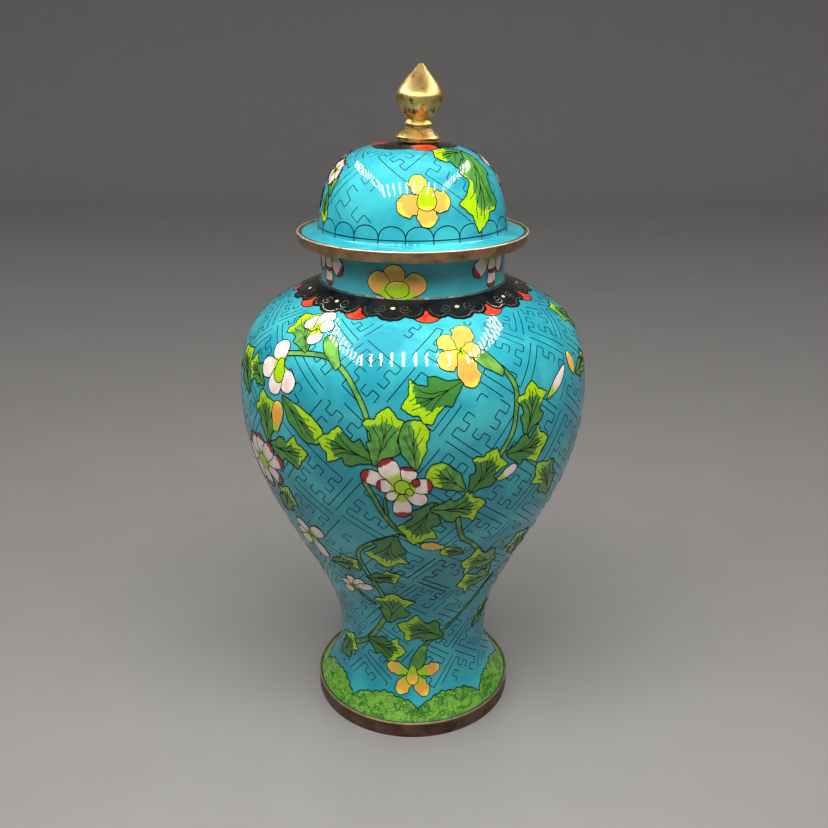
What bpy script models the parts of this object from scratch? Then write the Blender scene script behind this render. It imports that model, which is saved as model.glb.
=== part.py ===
"""Cloisonne ginger jar with a lift-off lid: the turned solids, at real size.

Metres, +Z up. The origin is the centre of the foot ring's underside, on the jar's axis.
Every piece is turned round that axis, except the finial, which stands a little off centre and leans.
"""

import math

import bpy
import numpy as np

MM = 0.001

# How finely the round pieces are cut.
BODY_SEGMENTS = 48
FINIAL_SEGMENTS = 28
SHARP_ANGLE = math.radians(38)
MERGE_DISTANCE = 0.00001

# Fits between pieces.
SEAT_GAP = 0.3 * MM
COLLAR_PLAY = 0.6 * MM

# Foot ring: a plain bronze band on edge.
FOOT_RING_LEDGE = 1.2 * MM
FOOT_RING_WIDTH = 2.6 * MM
FOOT_RING_HEIGHT = 7.0 * MM

# Vessel, from its foot up.
WALL = 2.0 * MM
FOOT_RADIUS = 44.0 * MM
FOOT_TO_WAIST = 27.3 * MM
WAIST_RADIUS = 33.8 * MM
WAIST_TO_BELLY = 116.5 * MM
BELLY_RADIUS = 72.85 * MM
BELLY_TO_NECK = 47.0 * MM
NECK_RADIUS = 37.6 * MM
NECK_FILLET = 0.9 * MM
NECK_HEIGHT = 15.4 * MM

# Mouth rim: a brass ring on top of the neck.
MOUTH_RIM_HEIGHT = 1.5 * MM
MOUTH_RIM_LIP = 0.3 * MM

# Lid: a flat flange on the mouth, with the dome standing on it.
FLANGE_THICKNESS = 1.9 * MM
FLANGE_RISE = 0.9 * MM
DOME_RADIUS = 38.1 * MM
DOME_FILLET = 1.0 * MM
DOME_HEIGHT = 32.2 * MM
FINIAL_HOLE_RADIUS = 4.2 * MM
LID_RIM_RADIUS = 47.05 * MM
LID_RIM_TAPER = 1.3 * MM
LID_RIM_HEIGHT = 4.2 * MM
LID_RIM_THICKNESS = 1.1 * MM
LID_RIM_PROUD = 0.2 * MM

# Collar under the lid, inside the neck.
COLLAR_WALL = 1.6 * MM
COLLAR_DEPTH = 8.0 * MM

# Finial: pedestal, groove, disc and pointed bud, with a stem through the lid.
FINIAL_OFFSET = 2.0 * MM
FINIAL_LEAN = math.radians(2.5)
PEDESTAL_FOOT_RADIUS = 7.2 * MM
PEDESTAL_FOOT_HEIGHT = 0.5 * MM
PEDESTAL_RADIUS = 8.9 * MM
PEDESTAL_EDGE_HEIGHT = 1.7 * MM
PEDESTAL_EDGE_THICKNESS = 0.5 * MM
PEDESTAL_TOP_RADIUS = 4.8 * MM
PEDESTAL_HEIGHT = 5.2 * MM
GROOVE_RADIUS = 4.3 * MM
GROOVE_HEIGHT = 1.1 * MM
DISC_RADIUS = 5.7 * MM
DISC_EDGE_HEIGHT = 0.5 * MM
DISC_HEIGHT = 2.3 * MM
BUD_NECK_RADIUS = 4.5 * MM
BUD_RADIUS = 9.2 * MM
BUD_LOWER_HEIGHT = 8.2 * MM
BUD_UPPER_HEIGHT = 11.4 * MM
BUD_TIP_RADIUS = 1.1 * MM
BUD_TIP_HEIGHT = 0.6 * MM
STEM_RADIUS = 2.0 * MM
STEM_HEAD_LAP = 0.5 * MM
STEM_HEAD_HEIGHT = 1.5 * MM

# The two handles of each curved run, as shares of the run's own width and height.
FOOT_HANDLES = ((0.0, 0.38), (0.10, 0.58))
BELLY_HANDLES = ((0.0, 0.41), (1.0, 0.69))
SHOULDER_HANDLES = ((0.54, 0.22), (1.0, 0.235))
FILLET_HANDLES = ((0.0, 0.55), (0.45, 1.0))
DOME_HANDLES = ((0.63, 0.0), (0.934, 0.12))
BUD_LOWER_HANDLES = ((0.0, 0.30), (0.70, 0.78))
BUD_UPPER_HANDLES = ((0.40, 0.32), (1.0, 0.85))

# How many straight steps each curved run takes.
FOOT_STEPS = 4
BELLY_STEPS = 8
SHOULDER_STEPS = 7
FILLET_STEPS = 2
DOME_STEPS = 9
BUD_LOWER_STEPS = 5
BUD_UPPER_STEPS = 5

# Heights above the table that several pieces share.
BODY_BOTTOM = FOOT_RING_HEIGHT + SEAT_GAP
WAIST_Z = BODY_BOTTOM + FOOT_TO_WAIST
BELLY_Z = WAIST_Z + WAIST_TO_BELLY
NECK_Z = BELLY_Z + BELLY_TO_NECK
NECK_TOP = NECK_Z + NECK_HEIGHT
MOUTH_BOTTOM = NECK_TOP + SEAT_GAP
MOUTH_TOP = MOUTH_BOTTOM + MOUTH_RIM_HEIGHT
FLANGE_BOTTOM = MOUTH_TOP + SEAT_GAP
FLANGE_TOP = FLANGE_BOTTOM + FLANGE_THICKNESS
DOME_BOTTOM = FLANGE_TOP + FLANGE_RISE
CROWN_Z = DOME_BOTTOM + DOME_FILLET + DOME_HEIGHT

# Radii that several pieces share.
FOOT_RING_RADIUS = FOOT_RADIUS + FOOT_RING_LEDGE
NECK_BORE = NECK_RADIUS - WALL
COLLAR_RADIUS = NECK_BORE - COLLAR_PLAY
COLLAR_BORE = COLLAR_RADIUS - COLLAR_WALL

# Colours as linear red, green, blue and alpha.
TURQUOISE = (0.09, 0.47, 0.56, 1.0)
BRONZE = (0.13, 0.075, 0.045, 1.0)
BRASS = (0.62, 0.42, 0.14, 1.0)
COPPER = (0.45, 0.22, 0.12, 1.0)


def clear_scene():
    """Remove every object that the file opened with."""
    for thing in list(bpy.data.objects):
        bpy.data.objects.remove(thing, do_unlink=True)


def finish(name, colour, roughness, metallic):
    """Return a plain material with the piece's colour and gloss."""
    material = bpy.data.materials.new(name)
    material.use_nodes = True
    shader = material.node_tree.nodes["Principled BSDF"]
    shader.inputs["Base Color"].default_value = colour
    shader.inputs["Roughness"].default_value = roughness
    shader.inputs["Metallic"].default_value = metallic
    return material


def curved_run(start, end, handles, steps):
    """Return the points of a smooth run from start to end, both included, as rows of radius and height."""
    start = np.array(start)
    span = np.array(end) - start
    first = start + span * handles[0]
    second = start + span * handles[1]
    share = np.linspace(0.0, 1.0, steps + 1)[:, None]
    rest = 1.0 - share
    return (
        rest**3 * start
        + 3.0 * rest**2 * share * first
        + 3.0 * rest * share**2 * second
        + share**3 * (start + span)
    )


def joined(*runs):
    """Chain runs and single points into one outline, with repeated points dropped."""
    points = np.vstack([np.atleast_2d(run) for run in runs])
    step = np.linalg.norm(np.diff(points, axis=0), axis=1)
    return points[np.concatenate(([True], step > MERGE_DISTANCE))]


def inset(outline, depth):
    """Move an outline that runs downwards towards the axis side by depth, square to itself."""
    along = np.gradient(outline, axis=0)
    along /= np.linalg.norm(along, axis=1)[:, None]
    inwards = np.column_stack((along[:, 1], -along[:, 0]))
    return outline + inwards * depth


def cut_at_height(outline, height):
    """Keep the part of a downward outline above height, ending exactly there."""
    kept = outline[outline[:, 1] > height + MERGE_DISTANCE]
    radius = np.interp(height, outline[::-1, 1], outline[::-1, 0])
    return np.vstack((kept, (radius, height)))


def cut_at_radius(outline, radius):
    """Keep the part of an outward outline beyond radius, starting exactly there."""
    kept = outline[outline[:, 0] > radius + MERGE_DISTANCE]
    height = np.interp(radius, outline[:, 0], outline[:, 1])
    return np.vstack(((radius, height), kept))


def turned(name, outline, segments, material, collection, closed):
    """Turn an outline at +X, which runs down its outer side, round the Z axis into one solid."""
    count = len(outline)
    corners = [(radius, 0.0, height) for radius, height in outline.tolist()]
    edges = [(i, i + 1) for i in range(count - 1)]
    if closed:
        edges.append((count - 1, 0))
    mesh = bpy.data.meshes.new(name)
    mesh.from_pydata(corners, edges, [])
    piece = bpy.data.objects.new(name, mesh)
    collection.objects.link(piece)
    turn = piece.modifiers.new("Turn", "SCREW")
    turn.axis = "Z"
    turn.angle = math.tau
    turn.steps = segments
    turn.render_steps = segments
    turn.use_merge_vertices = True
    turn.merge_threshold = MERGE_DISTANCE
    turn.use_smooth_shade = True
    solid = bpy.data.meshes.new_from_object(piece.evaluated_get(bpy.context.evaluated_depsgraph_get()))
    piece.modifiers.remove(turn)
    piece.data = solid
    bpy.data.meshes.remove(mesh)
    solid.name = name
    solid.shade_smooth()
    solid.set_sharp_from_angle(angle=SHARP_ANGLE)
    solid.materials.append(material)
    return piece


def ring_outline(inner, outer, bottom, top):
    """Return the square section of a plain ring, down its outer side first."""
    return np.array([(outer, top), (outer, bottom), (inner, bottom), (inner, top)])


def vessel_outside():
    """Return the vessel's outer side, from the mouth down to the foot's edge."""
    neck_foot_radius = NECK_RADIUS + NECK_FILLET
    fillet = curved_run(
        (NECK_RADIUS, NECK_Z + NECK_FILLET), (neck_foot_radius, NECK_Z), FILLET_HANDLES, FILLET_STEPS
    )
    shoulder = curved_run(
        (neck_foot_radius, NECK_Z), (BELLY_RADIUS, BELLY_Z), SHOULDER_HANDLES, SHOULDER_STEPS
    )
    belly = curved_run((BELLY_RADIUS, BELLY_Z), (WAIST_RADIUS, WAIST_Z), BELLY_HANDLES, BELLY_STEPS)
    foot = curved_run((WAIST_RADIUS, WAIST_Z), (FOOT_RADIUS, BODY_BOTTOM), FOOT_HANDLES, FOOT_STEPS)
    return joined((NECK_RADIUS, NECK_TOP), fillet, shoulder, belly, foot)


def make_jar_body(collection, enamel):
    """Turn the hollow vessel: outer side, flat underside, then the floor and the inner wall."""
    outside = vessel_outside()
    floor = BODY_BOTTOM + WALL
    inside = cut_at_height(inset(outside, WALL), floor)
    inside[0] = (NECK_BORE, NECK_TOP)
    outline = joined((0.0, floor), inside[::-1], outside, (0.0, BODY_BOTTOM))
    return turned("jar_body", outline, BODY_SEGMENTS, enamel, collection, closed=False)


def make_foot_ring(collection, bronze):
    """Turn the band that the vessel stands on."""
    outline = ring_outline(FOOT_RING_RADIUS - FOOT_RING_WIDTH, FOOT_RING_RADIUS, 0.0, FOOT_RING_HEIGHT)
    return turned("foot_ring", outline, BODY_SEGMENTS, bronze, collection, closed=True)


def make_mouth_rim(collection, brass):
    """Turn the ring on the neck's mouth, which the lid rests on."""
    outline = ring_outline(NECK_BORE, NECK_RADIUS + MOUTH_RIM_LIP, MOUTH_BOTTOM, MOUTH_TOP)
    return turned("mouth_rim", outline, BODY_SEGMENTS, brass, collection, closed=True)


def lid_rim_radius(height):
    """Return the outer radius of the lid's band, which narrows downwards, at a height."""
    top = FLANGE_TOP + LID_RIM_PROUD
    return LID_RIM_RADIUS - LID_RIM_TAPER * (top - height) / LID_RIM_HEIGHT


def make_lid_rim(collection, bronze):
    """Turn the tapered band round the flange's edge."""
    top = FLANGE_TOP + LID_RIM_PROUD
    bottom = top - LID_RIM_HEIGHT
    outline = np.array(
        [
            (lid_rim_radius(top), top),
            (lid_rim_radius(bottom), bottom),
            (lid_rim_radius(bottom) - LID_RIM_THICKNESS, bottom),
            (lid_rim_radius(top) - LID_RIM_THICKNESS, top),
        ]
    )
    return turned("lid_rim", outline, BODY_SEGMENTS, bronze, collection, closed=True)


def make_lid(collection, enamel):
    """Turn the hollow lid: dome, flange, opening, and the dome's inner side back up to the stem's hole."""
    fillet_top = DOME_BOTTOM + DOME_FILLET
    dome = curved_run((0.0, CROWN_Z), (DOME_RADIUS, fillet_top), DOME_HANDLES, DOME_STEPS)
    inner_dome = cut_at_radius(inset(dome, WALL), FINIAL_HOLE_RADIUS)
    dome = cut_at_radius(dome, FINIAL_HOLE_RADIUS)
    fillet = curved_run(
        (DOME_RADIUS, fillet_top), (DOME_RADIUS + DOME_FILLET, DOME_BOTTOM), FILLET_HANDLES, FILLET_STEPS
    )
    edge = LID_RIM_THICKNESS + SEAT_GAP
    outline = joined(
        dome,
        fillet,
        (lid_rim_radius(FLANGE_TOP) - edge, FLANGE_TOP),
        (lid_rim_radius(FLANGE_BOTTOM) - edge, FLANGE_BOTTOM),
        (COLLAR_BORE, FLANGE_BOTTOM),
        (COLLAR_BORE, FLANGE_TOP),
        (DOME_RADIUS - WALL, FLANGE_TOP),
        inner_dome[::-1],
    )
    return turned("lid", outline, BODY_SEGMENTS, enamel, collection, closed=True)


def make_lid_collar(collection, copper):
    """Turn the ring under the flange that keeps the lid centred in the neck."""
    top = FLANGE_BOTTOM - SEAT_GAP
    outline = ring_outline(COLLAR_BORE, COLLAR_RADIUS, top - COLLAR_DEPTH, top)
    return turned("lid_collar", outline, BODY_SEGMENTS, copper, collection, closed=True)


def make_finial(collection, brass):
    """Turn the finial about its own axis from the crown up, then set it off centre and lean it."""
    disc_bottom = PEDESTAL_HEIGHT + GROOVE_HEIGHT
    bud_bottom = disc_bottom + DISC_HEIGHT
    bud_widest = bud_bottom + BUD_LOWER_HEIGHT
    bud_top = bud_widest + BUD_UPPER_HEIGHT
    edge_inset = PEDESTAL_EDGE_THICKNESS / 2.0
    head_radius = FINIAL_HOLE_RADIUS + FINIAL_OFFSET + STEM_HEAD_LAP
    head_drop = head_radius * math.sin(FINIAL_LEAN)
    head_top = -(SEAT_GAP + WALL + SEAT_GAP + head_drop + SEAT_GAP)
    outline = joined(
        (0.0, bud_top + BUD_TIP_HEIGHT),
        curved_run((BUD_TIP_RADIUS, bud_top), (BUD_RADIUS, bud_widest), BUD_UPPER_HANDLES, BUD_UPPER_STEPS),
        curved_run((BUD_RADIUS, bud_widest), (BUD_NECK_RADIUS, bud_bottom), BUD_LOWER_HANDLES, BUD_LOWER_STEPS),
        (DISC_RADIUS, disc_bottom + DISC_EDGE_HEIGHT),
        (DISC_RADIUS, disc_bottom),
        (GROOVE_RADIUS, disc_bottom),
        (GROOVE_RADIUS, PEDESTAL_HEIGHT),
        (PEDESTAL_TOP_RADIUS, PEDESTAL_HEIGHT),
        (PEDESTAL_RADIUS, PEDESTAL_EDGE_HEIGHT + edge_inset),
        (PEDESTAL_RADIUS, PEDESTAL_EDGE_HEIGHT - edge_inset),
        (PEDESTAL_FOOT_RADIUS, PEDESTAL_FOOT_HEIGHT),
        (PEDESTAL_FOOT_RADIUS, 0.0),
        (STEM_RADIUS, 0.0),
        (STEM_RADIUS, head_top),
        (head_radius, head_top),
        (head_radius, head_top - STEM_HEAD_HEIGHT),
        (0.0, head_top - STEM_HEAD_HEIGHT),
    )
    piece = turned("finial", outline, FINIAL_SEGMENTS, brass, collection, closed=False)
    piece.location = (FINIAL_OFFSET, 0.0, CROWN_Z + SEAT_GAP)
    piece.rotation_euler = (0.0, FINIAL_LEAN, 0.0)
    return piece


def build():
    """Make the whole jar in a collection of its own."""
    clear_scene()
    collection = bpy.data.collections.new("cloisonne_ginger_jar")
    bpy.context.scene.collection.children.link(collection)
    enamel = finish("turquoise enamel", TURQUOISE, roughness=0.18, metallic=0.0)
    bronze = finish("dark bronze", BRONZE, roughness=0.45, metallic=0.9)
    brass = finish("worn brass", BRASS, roughness=0.3, metallic=1.0)
    copper = finish("dull copper", COPPER, roughness=0.5, metallic=1.0)
    make_foot_ring(collection, bronze)
    make_jar_body(collection, enamel)
    make_mouth_rim(collection, brass)
    make_lid(collection, enamel)
    make_lid_rim(collection, bronze)
    make_lid_collar(collection, copper)
    make_finial(collection, brass)
    bpy.context.view_layer.update()


build()
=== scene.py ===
"""Cloisonne ginger jar: the finish of every surface, laid over the jar's turned solids.

Metres, +Z up, the jar's axis at X = Y = 0. The vessel and the lid are smooth turned shells. Their picture of
flowers is built cell by cell on those shells: thin plates of enamel with a copper wire round each, and a key
fret of bent wires in the ground between them. A place on a shell is an angle round the axis, in degrees from
the front (-Y) towards +X, and a length along the outline, in millimetres from its first point.
"""

import logging
import math
from dataclasses import dataclass, field
from enum import Enum

import bmesh
import bpy
import numpy as np
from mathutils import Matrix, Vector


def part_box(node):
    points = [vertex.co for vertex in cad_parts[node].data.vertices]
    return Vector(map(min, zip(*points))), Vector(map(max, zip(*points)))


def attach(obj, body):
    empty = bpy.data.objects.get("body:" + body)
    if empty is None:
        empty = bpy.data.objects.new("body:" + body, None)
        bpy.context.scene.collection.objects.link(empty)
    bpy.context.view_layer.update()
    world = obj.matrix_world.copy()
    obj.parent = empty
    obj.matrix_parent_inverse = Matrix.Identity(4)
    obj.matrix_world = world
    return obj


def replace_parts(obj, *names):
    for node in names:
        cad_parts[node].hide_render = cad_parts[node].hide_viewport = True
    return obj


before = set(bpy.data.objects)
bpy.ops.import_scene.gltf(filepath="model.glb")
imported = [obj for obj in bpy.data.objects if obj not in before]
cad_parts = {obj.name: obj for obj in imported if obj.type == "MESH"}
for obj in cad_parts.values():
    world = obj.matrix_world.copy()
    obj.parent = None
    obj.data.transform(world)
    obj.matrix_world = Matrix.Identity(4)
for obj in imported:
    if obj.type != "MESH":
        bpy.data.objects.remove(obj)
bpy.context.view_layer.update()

LOG = logging.getLogger("ginger_jar")
MM = 0.001
BODY = "root"
MERGE_DISTANCE = 0.000001
SHARP_ANGLE = math.radians(35.0)
PAINT = "cell"
ENAMEL_SLOT = "cloisonne_enamel"
# Millimetres: how far plates and wires reach into a shell, the gap of a joint, and the collar's wall.
SUNK = 0.12
SEAM = 0.3
COLLAR_WALL = 1.6
# Tints past a petal's end: one has no red tip, the other is lime all over.
NO_TIP = 9.0
ALL_LIME = 2.0
LINE_STEPS = 360
LAMPLIGHT = (1.0, 0.985, 0.96)
Spot = tuple[float, float]
Place = tuple[float, float, float]
Colour = tuple[float, float, float, float]
Socket = bpy.types.NodeSocket
Input = Socket | float | Colour


@dataclass(frozen=True)
class Extent:
    """How far a CAD node reaches, in millimetres: outer radius, lowest height and highest height."""

    radius: float
    bottom: float
    top: float

    @classmethod
    def of(cls, node: str) -> "Extent":
        """Read a node's box from the frame, to a thousandth of a millimetre."""
        low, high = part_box(node)
        return cls(*(round(size / MM, 3) for size in (high.y, low.z, high.z)))


ROUND_NODES = ("jar_body", "foot_ring", "mouth_rim", "lid", "lid_rim", "lid_collar")
SOLIDS = {node: Extent.of(node) for node in ROUND_NODES}


def round_angles(columns: int) -> np.ndarray:
    """Return evenly spaced angles right round the jar, in degrees."""
    return np.linspace(-180.0, 180.0, columns, endpoint=False)


def curved_run(start: Spot, end: Spot, handles: tuple[Spot, Spot], steps: int) -> np.ndarray:
    """Work out a smooth run of an outline.

    A cubic Bezier curve: the weights of its four points are the terms of (rest + share) cubed.

    Args:
        start: Radius and height where the run starts, in millimetres.
        end: Radius and height where it ends.
        handles: The two middle points, as shares of the run's own width and height.
        steps: How many straight steps the run takes.

    Returns:
        Rows of radius and height, both ends included.
    """
    first = np.array(start, float)
    span = np.array(end, float) - first
    share = np.linspace(0.0, 1.0, steps + 1)[:, None]
    rest = 1.0 - share
    return (
        rest**3 * first
        + 3.0 * rest**2 * share * (first + span * handles[0])
        + 3.0 * rest * share**2 * (first + span * handles[1])
        + share**3 * (first + span)
    )


def smooth_path(points: np.ndarray, count: int) -> np.ndarray:
    """Draw a smooth path through a few points.

    A Catmull-Rom curve: between two points it leaves each one parallel to the line joining that point's
    neighbours.

    Args:
        points: Rows of two coordinates, at least two rows.
        count: How many points the path gets.

    Returns:
        The path, as rows of two coordinates.
    """
    padded = np.vstack((2 * points[0] - points[1], points, 2 * points[-1] - points[-2]))
    place = np.linspace(0.0, len(points) - 1.000001, count)
    low = place.astype(int)
    u = (place - low)[:, None]
    a, b, c, d = (padded[low + i] for i in range(4))
    return 0.5 * (2 * b + (c - a) * u + (2 * a - 5 * b + 4 * c - d) * u**2 + (3 * b - a - 3 * c + d) * u**3)


class Outline:
    """A turned outline, walked in millimetres from its first point; it runs down its outer side."""

    def __init__(self, *runs: np.ndarray | Spot) -> None:
        """Chain runs and single points, and drop repeated points.

        Args:
            runs: Rows of radius and height in millimetres, or single points of them.
        """
        points = np.vstack([np.atleast_2d(run) for run in runs])
        step = np.linalg.norm(np.diff(points, axis=0), axis=1)
        self.points = points[np.concatenate(([True], step > 0.001))]
        self.length = np.concatenate(([0.0], np.cumsum(np.linalg.norm(np.diff(self.points, axis=0), axis=1))))
        along = np.gradient(self.points, self.length, axis=0)
        along /= np.linalg.norm(along, axis=1)[:, None]
        self.along = along

    def radius(self, length: np.ndarray) -> np.ndarray:
        """Return the radius at each length, in millimetres."""
        return np.interp(length, self.length, self.points[:, 0])

    def place(self, angle: np.ndarray, length: np.ndarray, lift: np.ndarray | float) -> np.ndarray:
        """Put spots of the outline's surface in space.

        A spot is the outline's point at that length, moved outwards along the outline's normal, then turned
        round the axis by the angle.

        Args:
            angle: Degrees from the front.
            length: Millimetres along the outline.
            lift: Millimetres above the surface.

        Returns:
            Points in metres, with three coordinates in the last axis.
        """
        out_radius = -np.interp(length, self.length, self.along[:, 1])
        out_height = np.interp(length, self.length, self.along[:, 0])
        radius = self.radius(length) + lift * out_radius
        height = np.interp(length, self.length, self.points[:, 1]) + lift * out_height
        turn = np.radians(angle)
        return np.stack((radius * np.sin(turn), -radius * np.cos(turn), height), axis=-1) * MM

    def inner(self, wall: float) -> np.ndarray:
        """Return the outline's points moved in by a wall's thickness, square to it."""
        return self.points + np.column_stack((self.along[:, 1], -self.along[:, 0])) * wall

    def stretch(self, length: np.ndarray) -> np.ndarray:
        """Work out heights on a map that keeps angles: the sum of each step over its radius.

        Args:
            length: Millimetres along the outline.

        Returns:
            The height of each length on the map, in radians.
        """
        middle = (self.points[1:, 0] + self.points[:-1, 0]) / 2.0
        rise = np.concatenate(([0.0], np.cumsum(np.diff(self.length) / np.maximum(middle, 0.5))))
        return np.interp(length, self.length, rise)

    def unstretch(self, rise: np.ndarray) -> np.ndarray:
        """Return the length at each height of the map that keeps angles."""
        table = self.stretch(self.length)
        return np.interp(rise, table, self.length)


@dataclass
class Pile:
    """Patches gathered into one mesh: points, four-cornered faces and four paint values at each point."""

    points: list[np.ndarray] = field(default_factory=list)
    faces: list[np.ndarray] = field(default_factory=list)
    paint: list[np.ndarray] = field(default_factory=list)
    count: int = 0

    def add(self, points: np.ndarray, faces: np.ndarray, paint: np.ndarray | None = None) -> None:
        """Add one patch.

        Args:
            points: Rows of three coordinates in metres.
            faces: Rows of four point numbers within the patch.
            paint: Rows of four values for the finish, or None for zeros.
        """
        used, numbers = np.unique(faces, return_inverse=True)
        self.points.append(points[used])
        self.faces.append(numbers.reshape(faces.shape) + self.count)
        self.paint.append(np.zeros((len(used), 4)) if paint is None else paint[used])
        self.count += len(used)

    def build(self, name: str, finish: "Enamel | Metal", slot: str = ENAMEL_SLOT) -> bpy.types.Object:
        """Make the piece, with doubles merged and every face turned outwards.

        Args:
            name: The piece's name.
            finish: Its enamel or metal.
            slot: Not used.

        Returns:
            The finished piece, riding on the jar.
        """
        points = np.vstack(self.points)
        faces = np.vstack(self.faces)
        mesh = bpy.data.meshes.new(name)
        mesh.vertices.add(len(points))
        mesh.vertices.foreach_set("co", points.astype(np.float32).ravel())
        mesh.loops.add(faces.size)
        mesh.loops.foreach_set("vertex_index", faces.astype(np.int32).ravel())
        mesh.polygons.add(len(faces))
        mesh.polygons.foreach_set("loop_start", np.arange(0, faces.size, 4, dtype=np.int32))
        mesh.update(calc_edges=True)
        cell = mesh.attributes.new(PAINT, "FLOAT_COLOR", "POINT")
        cell.data.foreach_set("color", np.vstack(self.paint).astype(np.float32).ravel())
        work = bmesh.new()
        work.from_mesh(mesh)
        bmesh.ops.remove_doubles(work, verts=work.verts, dist=MERGE_DISTANCE)
        bmesh.ops.recalc_face_normals(work, faces=work.faces)
        work.to_mesh(mesh)
        work.free()
        mesh.shade_smooth()
        mesh.set_sharp_from_angle(angle=SHARP_ANGLE)
        mesh.materials.append(finish.material())
        piece = bpy.data.objects.new(name, mesh)
        bpy.context.scene.collection.objects.link(piece)
        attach(piece, BODY)
        LOG.info("%s: %d faces", name, len(mesh.polygons))
        return piece


def grid_faces(rows: int, columns: int, wrap: bool) -> np.ndarray:
    """Number the faces of a grid of points stored row by row.

    Args:
        rows: Points down the grid.
        columns: Points across it.
        wrap: Whether the last column joins the first.

    Returns:
        Rows of four point numbers.
    """
    last = columns if wrap else columns - 1
    row, column = np.meshgrid(np.arange(rows - 1), np.arange(last), indexing="ij")
    beside = (column + 1) % columns
    here, below = row * columns, (row + 1) * columns
    corners = (here + column, here + beside, below + beside, below + column)
    return np.stack([corner.ravel() for corner in corners], axis=1)


def turned(outline: np.ndarray, segments: int, closed: bool) -> Pile:
    """Turn an outline round the axis.

    Each point of the outline becomes a ring: (radius sin a, -radius cos a, height) for a full turn of a.

    Args:
        outline: Rows of radius and height in millimetres.
        segments: How many points a ring has.
        closed: Whether the outline's last point joins its first; otherwise both lie on the axis.

    Returns:
        The turned surface, ready to build.
    """
    rows = np.vstack((outline, outline[:1])) if closed else outline
    turn = np.linspace(0.0, math.tau, segments, endpoint=False)
    radius = rows[:, :1]
    height = np.broadcast_to(rows[:, 1:], (len(rows), segments))
    points = np.stack((radius * np.sin(turn), -radius * np.cos(turn), height), axis=-1) * MM
    pile = Pile()
    pile.add(points.reshape(-1, 3), grid_faces(len(rows), segments, wrap=True))
    return pile


def rounded(corners: np.ndarray, radius: float, steps: int = 4) -> np.ndarray:
    """Round every corner of a closed outline.

    Each corner is replaced by a quadratic curve between the two points that lie radius away from it on its
    two sides.

    Args:
        corners: Rows of radius and height in millimetres.
        radius: How far back along each side the rounding starts.
        steps: How many straight steps a rounding takes.

    Returns:
        The rounded outline.
    """
    before = np.roll(corners, 1, axis=0) - corners
    after = np.roll(corners, -1, axis=0) - corners
    reach_before = np.linalg.norm(before, axis=1)[:, None]
    reach_after = np.linalg.norm(after, axis=1)[:, None]
    start = corners + before * np.minimum(radius / reach_before, 0.49)
    end = corners + after * np.minimum(radius / reach_after, 0.49)
    u = np.linspace(0.0, 1.0, steps + 1)[None, :, None]
    curve = (1 - u) ** 2 * start[:, None] + 2 * u * (1 - u) * corners[:, None] + u**2 * end[:, None]
    return curve.reshape(-1, 2)


@dataclass(frozen=True)
class Wire:
    """The section of a bent wire, in millimetres: width, height above the shell and depth under it."""

    width: float
    lift: float
    depth: float = SUNK

    def lay(
        self, pile: Pile, outline: Outline, angle: np.ndarray, length: np.ndarray,
        keep: np.ndarray, looped: bool,
    ) -> None:
        """Lay several wires of as many points each on a shell, as square-cornered ribbons.

        The two sides of a ribbon lie half a width from its path, square to the path's direction on the
        shell, and each side has a top and a bottom point.

        Args:
            pile: Where the wires go.
            outline: The shell's outline.
            angle: Degrees, one row for each wire.
            length: Millimetres, one row for each wire.
            keep: For each wire, which of its steps are there.
            looped: Whether each wire's last point joins its first.
        """
        wires, count = angle.shape
        if looped:
            across = (np.roll(angle, -1, axis=1) - np.roll(angle, 1, axis=1)) / 2.0
            down = (np.roll(length, -1, axis=1) - np.roll(length, 1, axis=1)) / 2.0
        else:
            across = np.gradient(angle, axis=1)
            down = np.gradient(length, axis=1)
        radius = np.maximum(outline.radius(length), 0.5)
        across = np.radians(across) * radius
        reach = np.maximum(np.hypot(across, down), 1e-9)
        half = self.width / 2.0
        side_angle = np.degrees(-down / reach * half / radius)
        side_length = across / reach * half
        corners = ((1, self.lift), (-1, self.lift), (-1, -self.depth), (1, -self.depth))
        points = [
            outline.place(angle + way * side_angle, length + way * side_length, lift) for way, lift in corners
        ]
        wire, step = np.nonzero(keep)
        here = (wire * count + step) * 4
        there = (wire * count + (step + 1) % count) * 4
        sides = []
        for i in range(4):
            after = (i + 1) % 4
            sides.append(np.stack((here + i, here + after, there + after, there + i), axis=1))
        if looped:
            kept_before = np.roll(keep, 1, axis=1)
            kept_after = np.roll(keep, -1, axis=1)
        else:
            edge = np.zeros((wires, 1), bool)
            kept_before = np.hstack((edge, keep[:, :-1]))
            kept_after = np.hstack((keep[:, 1:], edge))
        first = (keep & ~kept_before)[wire, step]
        last = (keep & ~kept_after)[wire, step]
        corner = np.arange(4)
        caps = [here[first][:, None] + corner[::-1], there[last][:, None] + corner]
        faces = np.vstack(sides + caps)
        if len(faces):
            pile.add(np.stack(points, axis=2).reshape(-1, 3), faces)

    def lay_ring(self, pile: Pile, outline: Outline, length: np.ndarray) -> None:
        """Lay a wire right round the jar, at a length for each of some evenly spaced angles."""
        angle = round_angles(len(length))[None]
        self.lay(pile, outline, angle, length[None], np.ones(angle.shape, bool), looped=True)

    def lay_rim(self, pile: Pile, outline: Outline, rim: np.ndarray, keep: np.ndarray) -> None:
        """Lay a wire on those steps of a cell's rim that are to be kept."""
        self.lay(pile, outline, rim[None, :, 0], rim[None, :, 1], keep.reshape(1, -1), looped=True)


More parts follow.
